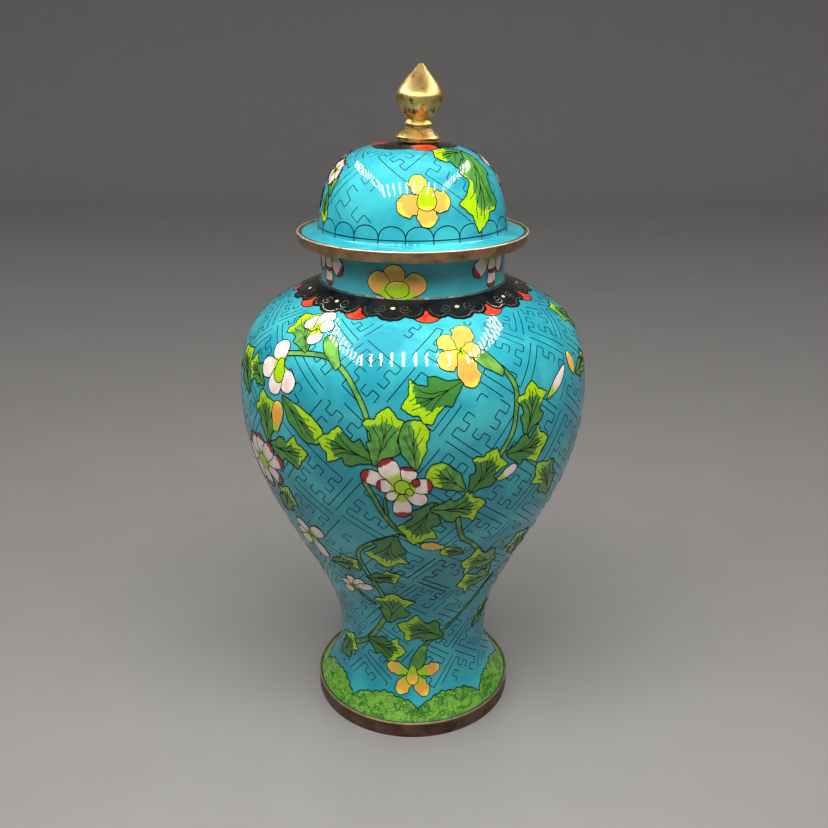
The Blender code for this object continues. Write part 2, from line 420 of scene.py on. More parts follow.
class Edge(Enum):
    """How wide a cell is along its spine: rows of place along it, and width on its left and right."""

    BROAD = (
        (0.0, 0.12, 0.12), (0.14, 0.40, 0.30), (0.28, 0.72, 0.84), (0.37, 0.54, 0.92), (0.47, 0.68, 0.58),
        (0.58, 1.08, 0.74), (0.68, 0.94, 1.12), (0.75, 0.52, 0.78), (0.82, 0.48, 0.42), (0.89, 0.32, 0.30),
        (0.95, 0.14, 0.14), (1.0, 0.0, 0.0),
    )
    HOLLY = (
        (0.0, 0.14, 0.14), (0.14, 0.38, 0.44), (0.28, 0.82, 0.84), (0.38, 0.84, 0.54), (0.48, 0.54, 0.74),
        (0.60, 0.88, 1.08), (0.70, 1.06, 0.80), (0.78, 0.52, 0.50), (0.86, 0.42, 0.40), (0.93, 0.20, 0.20),
        (1.0, 0.0, 0.0),
    )
    ROUND_LEAF = (
        (0.0, 0.12, 0.12), (0.15, 0.42, 0.40), (0.34, 0.80, 0.84), (0.48, 0.88, 0.80), (0.60, 0.94, 0.98),
        (0.74, 0.84, 0.98), (0.86, 0.70, 0.72), (0.94, 0.46, 0.52), (1.0, 0.0, 0.0),
    )
    PETAL = (
        (0.0, 0.42, 0.42), (0.22, 0.64, 0.68), (0.52, 1.0, 0.94), (0.70, 0.96, 1.0), (0.86, 0.84, 0.82),
        (0.95, 0.52, 0.54), (1.0, 0.0, 0.0),
    )
    WAVY_PETAL = (
        (0.0, 0.32, 0.32), (0.20, 0.56, 0.52), (0.44, 1.0, 0.84), (0.58, 0.84, 1.0), (0.74, 1.0, 0.84),
        (0.87, 0.66, 0.74), (0.95, 0.36, 0.40), (1.0, 0.0, 0.0),
    )
    DISC = "disc"
    VINE = "vine"
    BUD = "bud"

    def widths(self, share: np.ndarray, right: bool) -> np.ndarray:
        """Work out the half width at each share of the spine.

        The edge of a leaf or petal runs between its peaks and hollows partly as a smooth step, which
        rounds both, and partly as a power of the distance from the peak, which points the peak. A disc is a
        half circle, a bud is a sine, and a vine is even with round ends.

        Args:
            share: Places along the spine, from 0 to 1.
            right: Whether the right side is asked for.

        Returns:
            Half widths as shares of the cell's own half width.
        """
        if isinstance(self.value, tuple):
            knots = np.array(self.value)
            place, size = knots[:, 0], knots[:, 2 if right else 1]
            low = np.clip(np.searchsorted(place, share, side="right") - 1, 0, len(place) - 2)
            part = np.clip((share - place[low]) / (place[low + 1] - place[low]), 0.0, 1.0)
            soft = part * part * (3.0 - 2.0 * part)
            rising = size[low + 1] > size[low]
            pointed = np.where(rising, part**1.5, 1.0 - (1.0 - part) ** 1.5)
            blend = 0.75 * soft + 0.25 * pointed
            return size[low] + (size[low + 1] - size[low]) * blend
        if self is Edge.DISC:
            return np.sqrt(np.clip(1.0 - (2.0 * share - 1.0) ** 2, 0.0, 1.0))
        if self is Edge.BUD:
            return np.sin(math.pi * share) ** 0.75
        return np.sqrt(np.clip(np.minimum(share, 1.0 - share) * 16.0, 0.0, 1.0))

    def shares(self) -> np.ndarray:
        """Work out the places along the spine where the cell has points.

        They stand closer at the ends of a rounded cell, by the cosine of evenly spaced turns.

        Returns:
            Shares of the spine, rising from 0 to 1.
        """
        if isinstance(self.value, tuple):
            place = np.array(self.value)[:, 0]
            middle = [place[:-1] + np.diff(place) * part for part in (0.2, 0.4, 0.6, 0.8)]
            return np.sort(np.concatenate([place, *middle]))
        ends = (1.0 - np.cos(np.linspace(0.0, math.pi, 17))) / 2.0
        if self is Edge.VINE:
            return np.unique(np.concatenate((ends, np.linspace(0.0, 1.0, 71))))
        return ends


def upright(angle: float, ends: Spot) -> tuple[Spot, ...]:
    """Return a spine that runs straight down at one angle."""
    return tuple((angle, end) for end in ends)


@dataclass(frozen=True)
class Cell:
    """One cell of enamel: a thin plate along a spine, with a wire round it.

    The spine's spots are degrees and millimetres, from the cell's base to its tip. The half width and the
    bow, which bends a straight spine sideways, are millimetres. The tint goes to the cell's finish: in a
    petal it is the share where the second colour starts, in a leaf how far the lime leans to one side.
    """

    spine: tuple[Spot, ...]
    half_width: float
    edge: Edge
    lift: float
    tint: float = 0.0
    bow: float = 0.0
    veins: bool = False
    sweep: float = 0.0
    columns: int = 7

    def spots(self, outline: Outline, share: np.ndarray, side: np.ndarray) -> tuple[np.ndarray, np.ndarray]:
        """Map places in the cell to the shell.

        A place is the spine's point at that share, moved sideways by side times the half width there, and
        a little forwards by the sweep, so that the lobes point to the tip.

        Args:
            outline: The shell's outline.
            share: Places along the spine, from 0 to 1.
            side: Places across it, from -1 on the left to 1 on the right.

        Returns:
            Degrees and millimetres on the shell.
        """
        spine = np.array(self.spine, float)
        scale = np.radians(np.mean(outline.radius(spine[:, 1])))
        flat = spine * (scale, 1.0)
        if len(flat) == 2:
            run = flat[1] - flat[0]
            square = np.array((-run[1], run[0])) / max(np.linalg.norm(run), 0.01)
            flat = np.vstack((flat[0], flat.mean(axis=0) + square * self.bow, flat[1]))
        path = smooth_path(flat, 81)
        run = np.gradient(path, axis=0)
        run /= np.maximum(np.linalg.norm(run, axis=1)[:, None], 1e-9)
        at = np.linspace(0.0, 1.0, len(path))
        centre = [np.interp(share, at, path[:, i]) for i in range(2)]
        ahead = [np.interp(share, at, run[:, i]) for i in range(2)]
        half = np.where(side > 0.0, self.edge.widths(share, True), self.edge.widths(share, False))
        out = side * half * self.half_width
        forward = np.abs(out) * self.sweep
        x = centre[0] + ahead[0] * forward - ahead[1] * out
        y = centre[1] + ahead[1] * forward + ahead[0] * out
        stretch = scale / np.radians(np.maximum(outline.radius(y), 0.5))
        base = centre[0] / scale
        return base + (x - centre[0]) / scale * stretch, y

    def rim(self, outline: Outline) -> np.ndarray:
        """Walk once round the cell's edge, up its left side and back down its right side.

        Args:
            outline: The shell's outline.

        Returns:
            Rows of degrees and millimetres on the shell.
        """
        share = self.edge.shares()
        share_round = np.concatenate((share, share[::-1][1:-1]))
        side = np.concatenate((np.full(len(share), -1.0), np.full(len(share) - 2, 1.0)))
        angle, length = self.spots(outline, share_round, side)
        return np.column_stack((angle, length))

    def plate(self, pile: Pile, outline: Outline, tone: float) -> None:
        """Build the plate: a top grid, the same grid sunk into the shell, and the sides between them.

        Args:
            pile: Where the plate goes.
            outline: The shell's outline.
            tone: The cell's own shade, from 0 to 1.
        """
        share, side = np.meshgrid(self.edge.shares(), np.linspace(-1.0, 1.0, self.columns), indexing="ij")
        angle, length = self.spots(outline, share, side)
        layers = [outline.place(angle, length, lift) for lift in (self.lift, -SUNK)]
        rows, columns = share.shape
        size = rows * columns
        top = grid_faces(rows, columns, wrap=False)
        number = np.arange(size).reshape(rows, columns)
        ring = np.concatenate((number[:, 0], number[-1, 1:], number[-2::-1, -1], number[0, -2:0:-1]))
        after = np.roll(ring, -1)
        sides = np.stack((ring, after, after + size, ring + size), axis=1)
        tones, tints = np.full_like(share, tone), np.full_like(share, self.tint)
        values = np.stack((share, side * 0.5 + 0.5, tones, tints), axis=-1)
        paint = np.tile(values.reshape(-1, 4), (2, 1))
        points = np.vstack([layer.reshape(-1, 3) for layer in layers])
        pile.add(points, np.vstack((top, top[:, ::-1] + size, sides)), paint)

    def vein_paths(self, outline: Outline) -> tuple[np.ndarray, np.ndarray]:
        """Draw a leaf's midrib and its four side veins.

        A side vein leaves the midrib and bends out to the edge, its place across growing as a power of
        its place along.

        Args:
            outline: The shell's outline.

        Returns:
            Degrees and millimetres on the shell, one row for each vein.
        """
        u = np.linspace(0.0, 1.0, 9)
        rows = [(0.04 + 0.78 * u, 0.0 * u)]
        for start, end, out in ((0.24, 0.64, 0.62), (0.48, 0.84, 0.50)):
            for way in (-1.0, 1.0):
                rows.append((start + (end - start) * u, way * out * u**1.35))
        share = np.array([row[0] for row in rows])
        side = np.array([row[1] for row in rows])
        return self.spots(outline, share, side)


def inside(spots: np.ndarray, rim: np.ndarray) -> np.ndarray:
    """Tell which spots lie inside a closed rim on the shell.

    A spot is inside when a line from it to the right crosses the rim an odd number of times. Angles are
    first brought to within half a turn of the rim's own.

    Args:
        spots: Rows of degrees and millimetres.
        rim: Rows of degrees and millimetres, once round.

    Returns:
        One truth value for each spot.
    """
    middle = rim[:, 0].mean()
    x = (spots[:, 0] - middle + 180.0) % 360.0 - 180.0
    y = spots[:, 1]
    around = rim - (middle, 0.0)
    low, high = around.min(axis=0), around.max(axis=0)
    near = np.nonzero((x > low[0]) & (x < high[0]) & (y > low[1]) & (y < high[1]))[0]
    result = np.zeros(len(spots), bool)
    if len(near) == 0:
        return result
    start, end = around, np.roll(around, -1, axis=0)
    px, py = x[near][:, None], y[near][:, None]
    spans = (start[:, 1] > py) != (end[:, 1] > py)
    rise = np.where(end[:, 1] == start[:, 1], 1e-9, end[:, 1] - start[:, 1])
    cross = (end[:, 0] - start[:, 0]) * (py - start[:, 1]) / rise + start[:, 0]
    result[near] = (spans & (px < cross)).sum(axis=1) % 2 == 1
    return result


def outside_all(angle: np.ndarray, length: np.ndarray, rims: list[np.ndarray]) -> np.ndarray:
    """Tell which steps of some wires lie outside every rim, by their middle points.

    Args:
        angle: Degrees, one row for each wire.
        length: Millimetres, one row for each wire.
        rims: Edges of cells, as rows of degrees and millimetres.

    Returns:
        One truth value for each step of each wire.
    """
    middle_angle = (angle[:, :-1] + angle[:, 1:]) / 2.0
    middle_length = (length[:, :-1] + length[:, 1:]) / 2.0
    spots = np.column_stack((middle_angle.ravel(), middle_length.ravel()))
    free = np.ones(len(spots), bool)
    for rim in rims:
        free &= ~inside(spots, rim)
    return free.reshape(middle_angle.shape)


@dataclass(frozen=True)
class FretZone:
    """A band of the shell that one size of key fret fills, in millimetres along the outline."""

    start: float
    end: float
    module: float


@dataclass(frozen=True)
class KeyFret:
    """A slanting key fret: long bars in pairs, which end in stepped keys, in two directions.

    It lies on a square lattice of modules. One stroke is a bar of six modules with a key of three steps at
    its end. Its pair is the same stroke turned by half a turn, and the second pair is turned by a quarter.
    The pairs repeat by seven modules along and two across, so that they interlock a module apart.
    """

    wire: Wire = Wire(width=0.34, lift=0.04)
    corners: tuple[Spot, ...] = ((0, 0), (6, 0), (6, 1), (5, 1), (5, 2), (6, 2), (6, 3), (5, 3))
    rounding: float = 0.09
    along: int = 7
    across: int = 2
    slant: float = math.radians(52.0)
    looseness: float = 0.08
    gaps: float = 0.02
    shortest: int = 5
    seed: int = 5

    def stroke(self) -> np.ndarray:
        """Draw one stroke, with points half a module apart and each corner cut into two.

        Returns:
            Rows of two coordinates in modules.
        """
        corners = np.array(self.corners, float)
        steps = np.diff(corners, axis=0)
        reach = np.abs(steps).sum(axis=1)
        ways = steps / reach[:, None]
        points = [corners[0]]
        for i, way in enumerate(ways):
            points.extend(corners[i] + way * k / 2.0 for k in range(1, int(reach[i]) * 2))
            if i + 1 < len(ways):
                points.append(corners[i + 1] - way * self.rounding)
                points.append(corners[i + 1] + ways[i + 1] * self.rounding)
        points.append(corners[-1])
        return np.array(points)

    def strokes(self) -> np.ndarray:
        """Turn the stroke into the four of one repeat.

        Returns:
            Four sets of points in modules.
        """
        first = self.stroke()
        pair = np.array((self.corners[1][0], -1.0)) - first
        quarter = np.array(((0.0, 1.0), (-1.0, 0.0)))
        both = np.stack((first, pair))
        return np.concatenate((both, both @ quarter + (0.0, 1.0)))

    def lay(self, pile: Pile, outline: Outline, zone: FretZone, rims: list[np.ndarray]) -> None:
        """Fill a zone of the shell with the fret, and leave out what the cells cover.

        The lattice is turned so that a whole number of repeats closes round the jar, and is put on the
        shell by a map that keeps angles.

        Args:
            pile: Where the wires go.
            outline: The shell's outline.
            zone: The band to fill.
            rims: The edges of the cells in it.
        """
        middle = (zone.start + zone.end) / 2.0
        around = math.tau * float(outline.radius(np.array(middle))) / zone.module
        slope = math.tan(self.slant)
        ratio = (self.along * slope + self.across) / (self.along - self.across * slope)
        repeat = math.hypot(self.along, self.across)
        m = max(1, round(around / repeat / math.hypot(1.0, ratio)))
        n = round(ratio * m)
        closing = np.array((self.along * m + self.across * n, self.along * n - self.across * m), float)
        girth = np.linalg.norm(closing)
        right = closing / girth
        turn = np.array(((right[0], -right[1]), (right[1], right[0])))
        span = int(girth / repeat) + 12
        i, j = np.meshgrid(np.arange(-span, span), np.arange(-span, span), indexing="ij")
        origins = np.stack((self.along * i + self.across * j, self.along * j - self.across * i), axis=-1)
        origins = origins.reshape(-1, 2)
        spread = origins @ turn
        start, end = outline.stretch(np.array((zone.start, zone.end)))
        centre = (start + end) / 2.0
        tall = (end - start) / 2.0 * girth / math.tau + repeat
        origins = origins[(spread[:, 0] >= 0.0) & (spread[:, 0] < girth) & (np.abs(spread[:, 1]) < tall)]
        strokes = self.strokes()
        chance = np.random.default_rng(self.seed)
        shift = chance.normal(0.0, self.looseness, (len(origins), len(strokes), 1, 2))
        points = strokes[None] + origins[:, None, None] + shift
        points = points.reshape(-1, strokes.shape[1], 2) @ turn
        angle = np.degrees(points[..., 0] * math.tau / girth)
        rise = points[..., 1] * math.tau / girth + centre
        keep = (rise > start) & (rise < end)
        length = outline.unstretch(np.clip(rise, start, end))
        steps = keep[:, :-1] & keep[:, 1:] & outside_all(angle, length, rims)
        steps &= chance.random((len(steps), 1)) > self.gaps
        runs = np.lib.stride_tricks.sliding_window_view(steps, self.shortest, axis=1).all(axis=-1)
        long = np.zeros_like(steps)
        for k in range(self.shortest):
            long[:, k : k + runs.shape[1]] |= runs
        self.wire.lay(pile, outline, angle, length, long, looped=False)


class Bench:
    """A material's node tree, with short calls that add a node and join it up."""

    def __init__(self, name: str) -> None:
        """Start a material with its Principled shader.

        Args:
            name: The material's name.
        """
        self.material = bpy.data.materials.new(name)
        self.material.use_nodes = True
        self.tree = self.material.node_tree
        self.shader = self.tree.nodes["Principled BSDF"]
        self.place = self.tree.nodes.new("ShaderNodeTexCoord").outputs["Object"]

    def wire(self, value: Input, socket: Socket) -> None:
        """Join a socket to another, or set its value.

        Args:
            value: What goes in: another node's output, a number or a colour.
            socket: The input that takes it.
        """
        if isinstance(value, bpy.types.NodeSocket):
            self.tree.links.new(value, socket)
        else:
            socket.default_value = value

    def set(self, name: str, value: Input) -> None:
        """Give one of the shader's inputs its value."""
        self.wire(value, self.shader.inputs[name])

    def texture(self, kind: str, size: float) -> bpy.types.Node:
        """Add a texture that reads Object coordinates.

        Args:
            kind: The node's type.
            size: How wide its clouds or cells are, in millimetres.

        Returns:
            The node.
        """
        node = self.tree.nodes.new(kind)
        self.wire(self.place, node.inputs["Vector"])
        node.inputs["Scale"].default_value = 1.0 / (size * MM)
        return node

    def noise(self, size: float, detail: float = 2.0, twist: float = 0.0) -> Socket:
        """Make clouds.

        Args:
            size: How wide a cloud is, in millimetres.
            detail: How many finer layers it has.
            twist: How far it is distorted.

        Returns:
            A cloudy value between 0 and 1.
        """
        node = self.texture("ShaderNodeTexNoise", size)
        node.inputs["Detail"].default_value = detail
        node.inputs["Distortion"].default_value = twist
        return node.outputs["Fac"]

    def specks(self, pitch: float, radius: float) -> Socket:
        """Return 1 in round specks of a radius, one in each cell of a pitch, and 0 between them."""
        distance = self.texture("ShaderNodeTexVoronoi", pitch).outputs["Distance"]
        return self.step(distance, radius / pitch, radius / pitch * 0.6)

    def value(self, kind: str, first: Input, second: Input = 0.0) -> Socket:
        """Work out one operation of arithmetic.

        Args:
            kind: The operation.
            first: Its first value.
            second: Its second value, where it has one.

        Returns:
            The result.
        """
        node = self.tree.nodes.new("ShaderNodeMath")
        node.operation = kind
        self.wire(first, node.inputs[0])
        self.wire(second, node.inputs[1])
        return node.outputs[0]

    def plus(self, first: Input, second: Input) -> Socket:
        """Return the sum of two values."""
        return self.value("ADD", first, second)

    def minus(self, first: Input, second: Input) -> Socket:
        """Return the first value less the second."""
        return self.value("SUBTRACT", first, second)

    def times(self, first: Input, second: Input) -> Socket:
        """Return the product of two values."""
        return self.value("MULTIPLY", first, second)

    def step(self, value: Input, start: float, end: float) -> Socket:
        """Turn a value into a soft edge, a smooth step between two limits.

        Args:
            value: The value.
            start: Where the result is 0; it may be the larger of the two.
            end: Where the result is 1.

        Returns:
            A value between 0 and 1.
        """
        node = self.tree.nodes.new("ShaderNodeMapRange")
        node.interpolation_type = "SMOOTHSTEP"
        self.wire(value, node.inputs["Value"])
        node.inputs["From Min"].default_value = min(start, end)
        node.inputs["From Max"].default_value = max(start, end)
        node.inputs["To Min"].default_value = 0.0 if start < end else 1.0
        node.inputs["To Max"].default_value = 1.0 if start < end else 0.0
        return node.outputs["Result"]

    def range(self, value: Input, low: float, high: float) -> Socket:
        """Spread a value between 0 and 1 over a range.

        Args:
            value: The value.
            low: What 0 becomes.
            high: What 1 becomes.

        Returns:
            The value in its range.
        """
        node = self.tree.nodes.new("ShaderNodeMapRange")
        self.wire(value, node.inputs["Value"])
        node.inputs["To Min"].default_value = low
        node.inputs["To Max"].default_value = high
        return node.outputs["Result"]

    def mix(self, factor: Input, first: Input, second: Input) -> Socket:
        """Blend two colours.

        Args:
            factor: The second colour's share.
            first: The colour at 0.
            second: The colour at 1.

        Returns:
            The blended colour.
        """
        node = self.tree.nodes.new("ShaderNodeMix")
        node.data_type = "RGBA"
        self.wire(factor, node.inputs["Factor"])
        self.wire(first, node.inputs[6])
        self.wire(second, node.inputs[7])
        return node.outputs[2]

    def clouds(self, size: float, detail: float, edge: Spot, first: Input, second: Input) -> Socket:
        """Blend two colours in clouds; the edge is the two values of noise between which they change."""
        return self.mix(self.step(self.noise(size, detail), *edge), first, second)

    def paint(self) -> list[Socket]:
        """Read the paint values that each point of a cell carries.

        Returns:
            Place along the cell, place across it, tone and tint.
        """
        node = self.tree.nodes.new("ShaderNodeAttribute")
        node.attribute_name = PAINT
        split = self.tree.nodes.new("ShaderNodeSeparateColor")
        self.wire(node.outputs["Color"], split.inputs["Color"])
        return [split.outputs["Red"], split.outputs["Green"], split.outputs["Blue"], node.outputs["Alpha"]]

    def ragged(self, size: float, depth: float) -> Socket:
        """Return a value that wavers round 0 by half of depth, which frays the join of two colours."""
        return self.times(self.minus(self.noise(size, 2.0), 0.5), depth)

    def bump(self, height: Socket, depth: float) -> None:
        """Raise and lower the surface.

        Args:
            height: A value that says where.
            depth: How far, in millimetres.
        """
        node = self.tree.nodes.new("ShaderNodeBump")
        self.wire(height, node.inputs["Height"])
        node.inputs["Distance"].default_value = depth * MM
        self.set("Normal", node.outputs["Normal"])


def shade(red: int, green: int, blue: int) -> Colour:
    """Turn a screen colour into linear light, by the usual power of 2.4 with a straight foot.

    Args:
        red: From 0 to 255.
        green: From 0 to 255.
        blue: From 0 to 255.

    Returns:
        Red, green, blue and full alpha, from 0 to 1.
    """
    parts = np.array((red, green, blue)) / 255.0
    linear = np.where(parts <= 0.04045, parts / 12.92, ((parts + 0.055) / 1.055) ** 2.4)
    return (*linear.tolist(), 1.0)


@dataclass(frozen=True)
class Enamel:
    """Polished enamel: glassy, faintly wavy, with fine pits, in one colour with soft clouds.

    Cloud, pitch and radius are millimetres, and pits is how dark the pits are.
    """

    name: str
    deep: Colour
    pale: Colour
    cloud: float = 9.0
    gloss: float = 0.05
    pits: float = 0.5
    pit_pitch: float = 4.6
    pit_radius: float = 0.16
    pit_colour: Colour = shade(20, 34, 38)
    refraction: float = 1.52
    wave_depth: float = 0.035

    def colour(self, bench: Bench) -> Socket:
        """Return the colour: two tones in clouds."""
        return bench.mix(bench.step(bench.noise(self.cloud, 3.0, 0.6), 0.34, 0.66), self.deep, self.pale)

    def material(self) -> bpy.types.Material:
        """Make the material: colour, pits that only some places have, and a wavy polish.

        Returns:
            The material.
        """
        bench = Bench(self.name)
        pitted = bench.step(bench.noise(13.0), 0.50, 0.60)
        pits = bench.times(bench.specks(self.pit_pitch, self.pit_radius), pitted)
        bench.set("Base Color", bench.mix(bench.times(pits, self.pits), self.colour(bench), self.pit_colour))
        bench.set("Roughness", bench.range(bench.noise(6.0, 4.0), self.gloss * 0.6, self.gloss * 1.6))
        bench.set("IOR", self.refraction)
        waves = bench.plus(bench.noise(9.0, 1.0), bench.times(bench.noise(1.1), 0.05))
        bench.bump(bench.minus(waves, bench.times(pits, 0.8)), self.wave_depth)
        return bench.material


@dataclass(frozen=True)
class LeafEnamel(Enamel):
    """Leaf enamel: green from the base, lime at the tip and lobes, with a ragged join between."""

    lime: Colour = shade(168, 218, 12)
    pale_lime: Colour = shade(190, 226, 60)
    join: Spot = (0.90, 0.93)

    def colour(self, bench: Bench) -> Socket:
        """Choose green or lime by the place in the leaf, along it and out from its midrib.

        Args:
            bench: The material's bench.

        Returns:
            The colour, with the leaf's own tone.
        """
        along, across, tone, tint = bench.paint()
        side = bench.minus(across, 0.5)
        out = bench.times(bench.value("ABSOLUTE", side), 0.55)
        ragged = bench.times(bench.noise(1.1), 0.26)
        place = bench.plus(bench.plus(along, out), bench.plus(bench.times(side, tint), ragged))
        green = bench.clouds(3.0, 3.0, (0.35, 0.75), bench.mix(tone, self.deep, self.pale), self.deep)
        lime = bench.clouds(2.4, 2.0, (0.45, 0.8), self.lime, self.pale_lime)
        return bench.mix(bench.step(place, *self.join), green, lime)


@dataclass(frozen=True)
class PetalEnamel(Enamel):
    """Petal enamel: lime at the heart, cloudy pale body, and a deep tip that starts at the cell's tint."""

    heart: Colour = shade(178, 205, 60)
    heart_end: Spot = (0.42, 0.26)
    tip: Colour = shade(160, 34, 40)

    def colour(self, bench: Bench) -> Socket:
        """Choose heart, body or tip by the place along the petal.

        Args:
            bench: The material's bench.

        Returns:
            The colour.
        """
        along, _, _, tint = bench.paint()
        place = bench.plus(along, bench.ragged(1.6, 0.16))
        body = bench.clouds(3.4, 1.0, (0.40, 0.8), self.pale, self.deep)
        body = bench.mix(bench.step(place, *self.heart_end), body, self.heart)
        return bench.mix(bench.step(bench.minus(place, tint), -0.02, 0.03), body, self.tip)


@dataclass(frozen=True)
class GoldPetalEnamel(Enamel):
    """Yellow petal enamel: lime at the heart up to the cell's tint, an orange body and a yellow margin."""

    heart: Colour = shade(168, 212, 20)
    margin: Colour = shade(252, 224, 84)
    margin_start: Spot = (0.72, 0.95)

    def colour(self, bench: Bench) -> Socket:
        """Choose heart or body by the place along the petal, and margin where an edge or the tip is near.

        Args:
            bench: The material's bench.

        Returns:
            The colour, with the petal's own tone.
        """
        along, across, tone, tint = bench.paint()
        ragged = bench.ragged(1.8, 0.30)
        side = bench.times(bench.value("ABSOLUTE", bench.minus(across, 0.5)), 1.8)
        border = bench.plus(bench.value("MAXIMUM", along, side), ragged)
        body = bench.mix(tone, self.deep, self.pale)
        body = bench.mix(bench.step(border, *self.margin_start), body, self.margin)
        reach = bench.minus(bench.plus(along, ragged), tint)
        return bench.mix(bench.step(reach, 0.12, -0.06), body, self.heart)


@dataclass(frozen=True)
class HillEnamel(Enamel):
    """Foot enamel: hills of mottled green, with pale grains that show the mixed powders."""

    grain: Colour = shade(168, 204, 104)

    def colour(self, bench: Bench) -> Socket:
        """Strew pale grains on green clouds.

        Args:
            bench: The material's bench.

        Returns:
            The colour.
        """
        clouds = bench.mix(bench.step(bench.noise(5.0, 4.0, 1.5), 0.38, 0.62), self.deep, self.pale)
        return bench.mix(bench.step(bench.noise(1.2, 4.0, 2.0), 0.55, 0.66), clouds, self.grain)


@dataclass(frozen=True)
class Metal:
    """Worked metal: two tones in clouds, dark tarnish in spots, fine turning marks and dull patches.

    Stain is a pair of heights between which the tarnish is denser. Like cloud, the pitch of the turned
    rings and the depth of the grain, it is in millimetres.
    """

    name: str
    bright: Colour
    dull: Colour
    tarnish: Colour
    spots: float = 0.3
    cloud: float = 5.0
    rough: Spot = (0.18, 0.42)
    rings: float = 0.0
    grain: float = 0.02
    stain: Spot = (0.0, 0.0)
    stain_strength: float = 0.075

    def material(self) -> bpy.types.Material:
        """Make the material; a turned ring is a sine of the height.

        Returns:
            The material.
        """
        bench = Bench(self.name)
        tone = bench.mix(bench.step(bench.noise(self.cloud, 5.0, 0.4), 0.35, 0.70), self.bright, self.dull)
        split = bench.tree.nodes.new("ShaderNodeSeparateXYZ")
        bench.wire(bench.place, split.inputs[0])
        height = split.outputs["Z"]
        low, high = self.stain[0] * MM, self.stain[1] * MM
        stained = bench.times(bench.step(height, low - MM, low), bench.step(height, high + MM, high))
        stained = bench.times(stained, self.stain_strength)
        darker = bench.plus(bench.noise(self.cloud * 0.5, 4.0, 0.3), stained)
        edge = 0.80 - self.spots * 0.5
        spot = bench.step(darker, edge - 0.04, edge + 0.14)
        bench.set("Base Color", bench.mix(spot, tone, self.tarnish))
        bench.set("Metallic", 1.0)
        wear = bench.value("MAXIMUM", bench.times(spot, 0.9), bench.noise(self.cloud * 0.3, 4.0))
        bench.set("Roughness", bench.range(wear, *self.rough))
        relief = bench.noise(0.9, 3.0)
        if self.rings:
            cuts = bench.value("SINE", bench.times(height, math.tau / (self.rings * MM)))
            relief = bench.plus(relief, bench.times(cuts, 0.25))
        bench.bump(relief, self.grain)
        return bench.material


@dataclass(frozen=True)
class Palette:
    """Every finish of the jar."""

    ground: Enamel = Enamel("turquoise_enamel", shade(36, 146, 164), shade(66, 180, 190), cloud=26.0)
    leaf: LeafEnamel = LeafEnamel("leaf_enamel", shade(60, 122, 52), shade(104, 168, 74))
    stem: Enamel = Enamel("stem_enamel", shade(72, 128, 56), shade(122, 178, 82), cloud=6.0)
    white: PetalEnamel = PetalEnamel("white_petal_enamel", shade(236, 200, 196), shade(246, 230, 222))
    gold: GoldPetalEnamel = GoldPetalEnamel("gold_petal_enamel", shade(236, 164, 74), shade(246, 194, 84))
    black: Enamel = Enamel("black_enamel", shade(14, 15, 17), shade(30, 32, 34), cloud=6.0)
    red: Enamel = Enamel("red_enamel", shade(196, 40, 24), shade(232, 76, 46), cloud=5.0)
    cream: Enamel = Enamel("cream_enamel", shade(205, 205, 150), shade(228, 226, 180), cloud=3.0)
    hills: HillEnamel = HillEnamel("hill_enamel", shade(56, 124, 40), shade(118, 180, 66))
    wire: Metal = Metal(
        "copper_wire", shade(48, 42, 42), shade(24, 32, 38), shade(12, 18, 24), cloud=9.0, rough=(0.3, 0.5)
    )
    bright_wire: Metal = Metal(
        "silvered_wire", shade(206, 196, 176), shade(150, 136, 116), shade(90, 80, 70), cloud=5.0
    )
    bronze: Metal = Metal(
        "band_bronze", shade(188, 148, 112), shade(142, 108, 80), shade(76, 60, 48), cloud=7.0,
        rough=(0.30, 0.55),
    )
    dark_bronze: Metal = Metal(
        "foot_bronze", shade(134, 104, 90), shade(94, 74, 66), shade(50, 40, 36), cloud=8.0, rough=(0.32, 0.6)
    )
    brass: Metal = Metal(
        "finial_brass", shade(232, 202, 128), shade(198, 166, 98), shade(84, 64, 34), spots=0.34, rings=0.5,
        rough=(0.30, 0.50), grain=0.010, stain=(260.8, 267.5),
    )
    # Pale metal for a bead on each band's edge: painted highlight, the bright line of light along the rim.
    edge_highlight: Metal = Metal(
        "painted_edge_highlight", shade(248, 222, 186), shade(224, 188, 150), shade(164, 130, 100), rough=(0.45, 0.65)
    )
    copper: Metal = Metal(
        "collar_copper", shade(190, 122, 88), shade(140, 88, 64), shade(70, 48, 38), rough=(0.3, 0.55)
    )


@dataclass(frozen=True)
class Steps:
    """The heights above the shell, in millimetres, that cells of a kind take by turns where they overlap."""

    first: float
    rise: float
    count: int

    def lift(self, cells: list[Cell]) -> float:
        """Return the height of the cell that comes after some others of its kind."""
        return self.first + self.rise * (len(cells) % self.count)


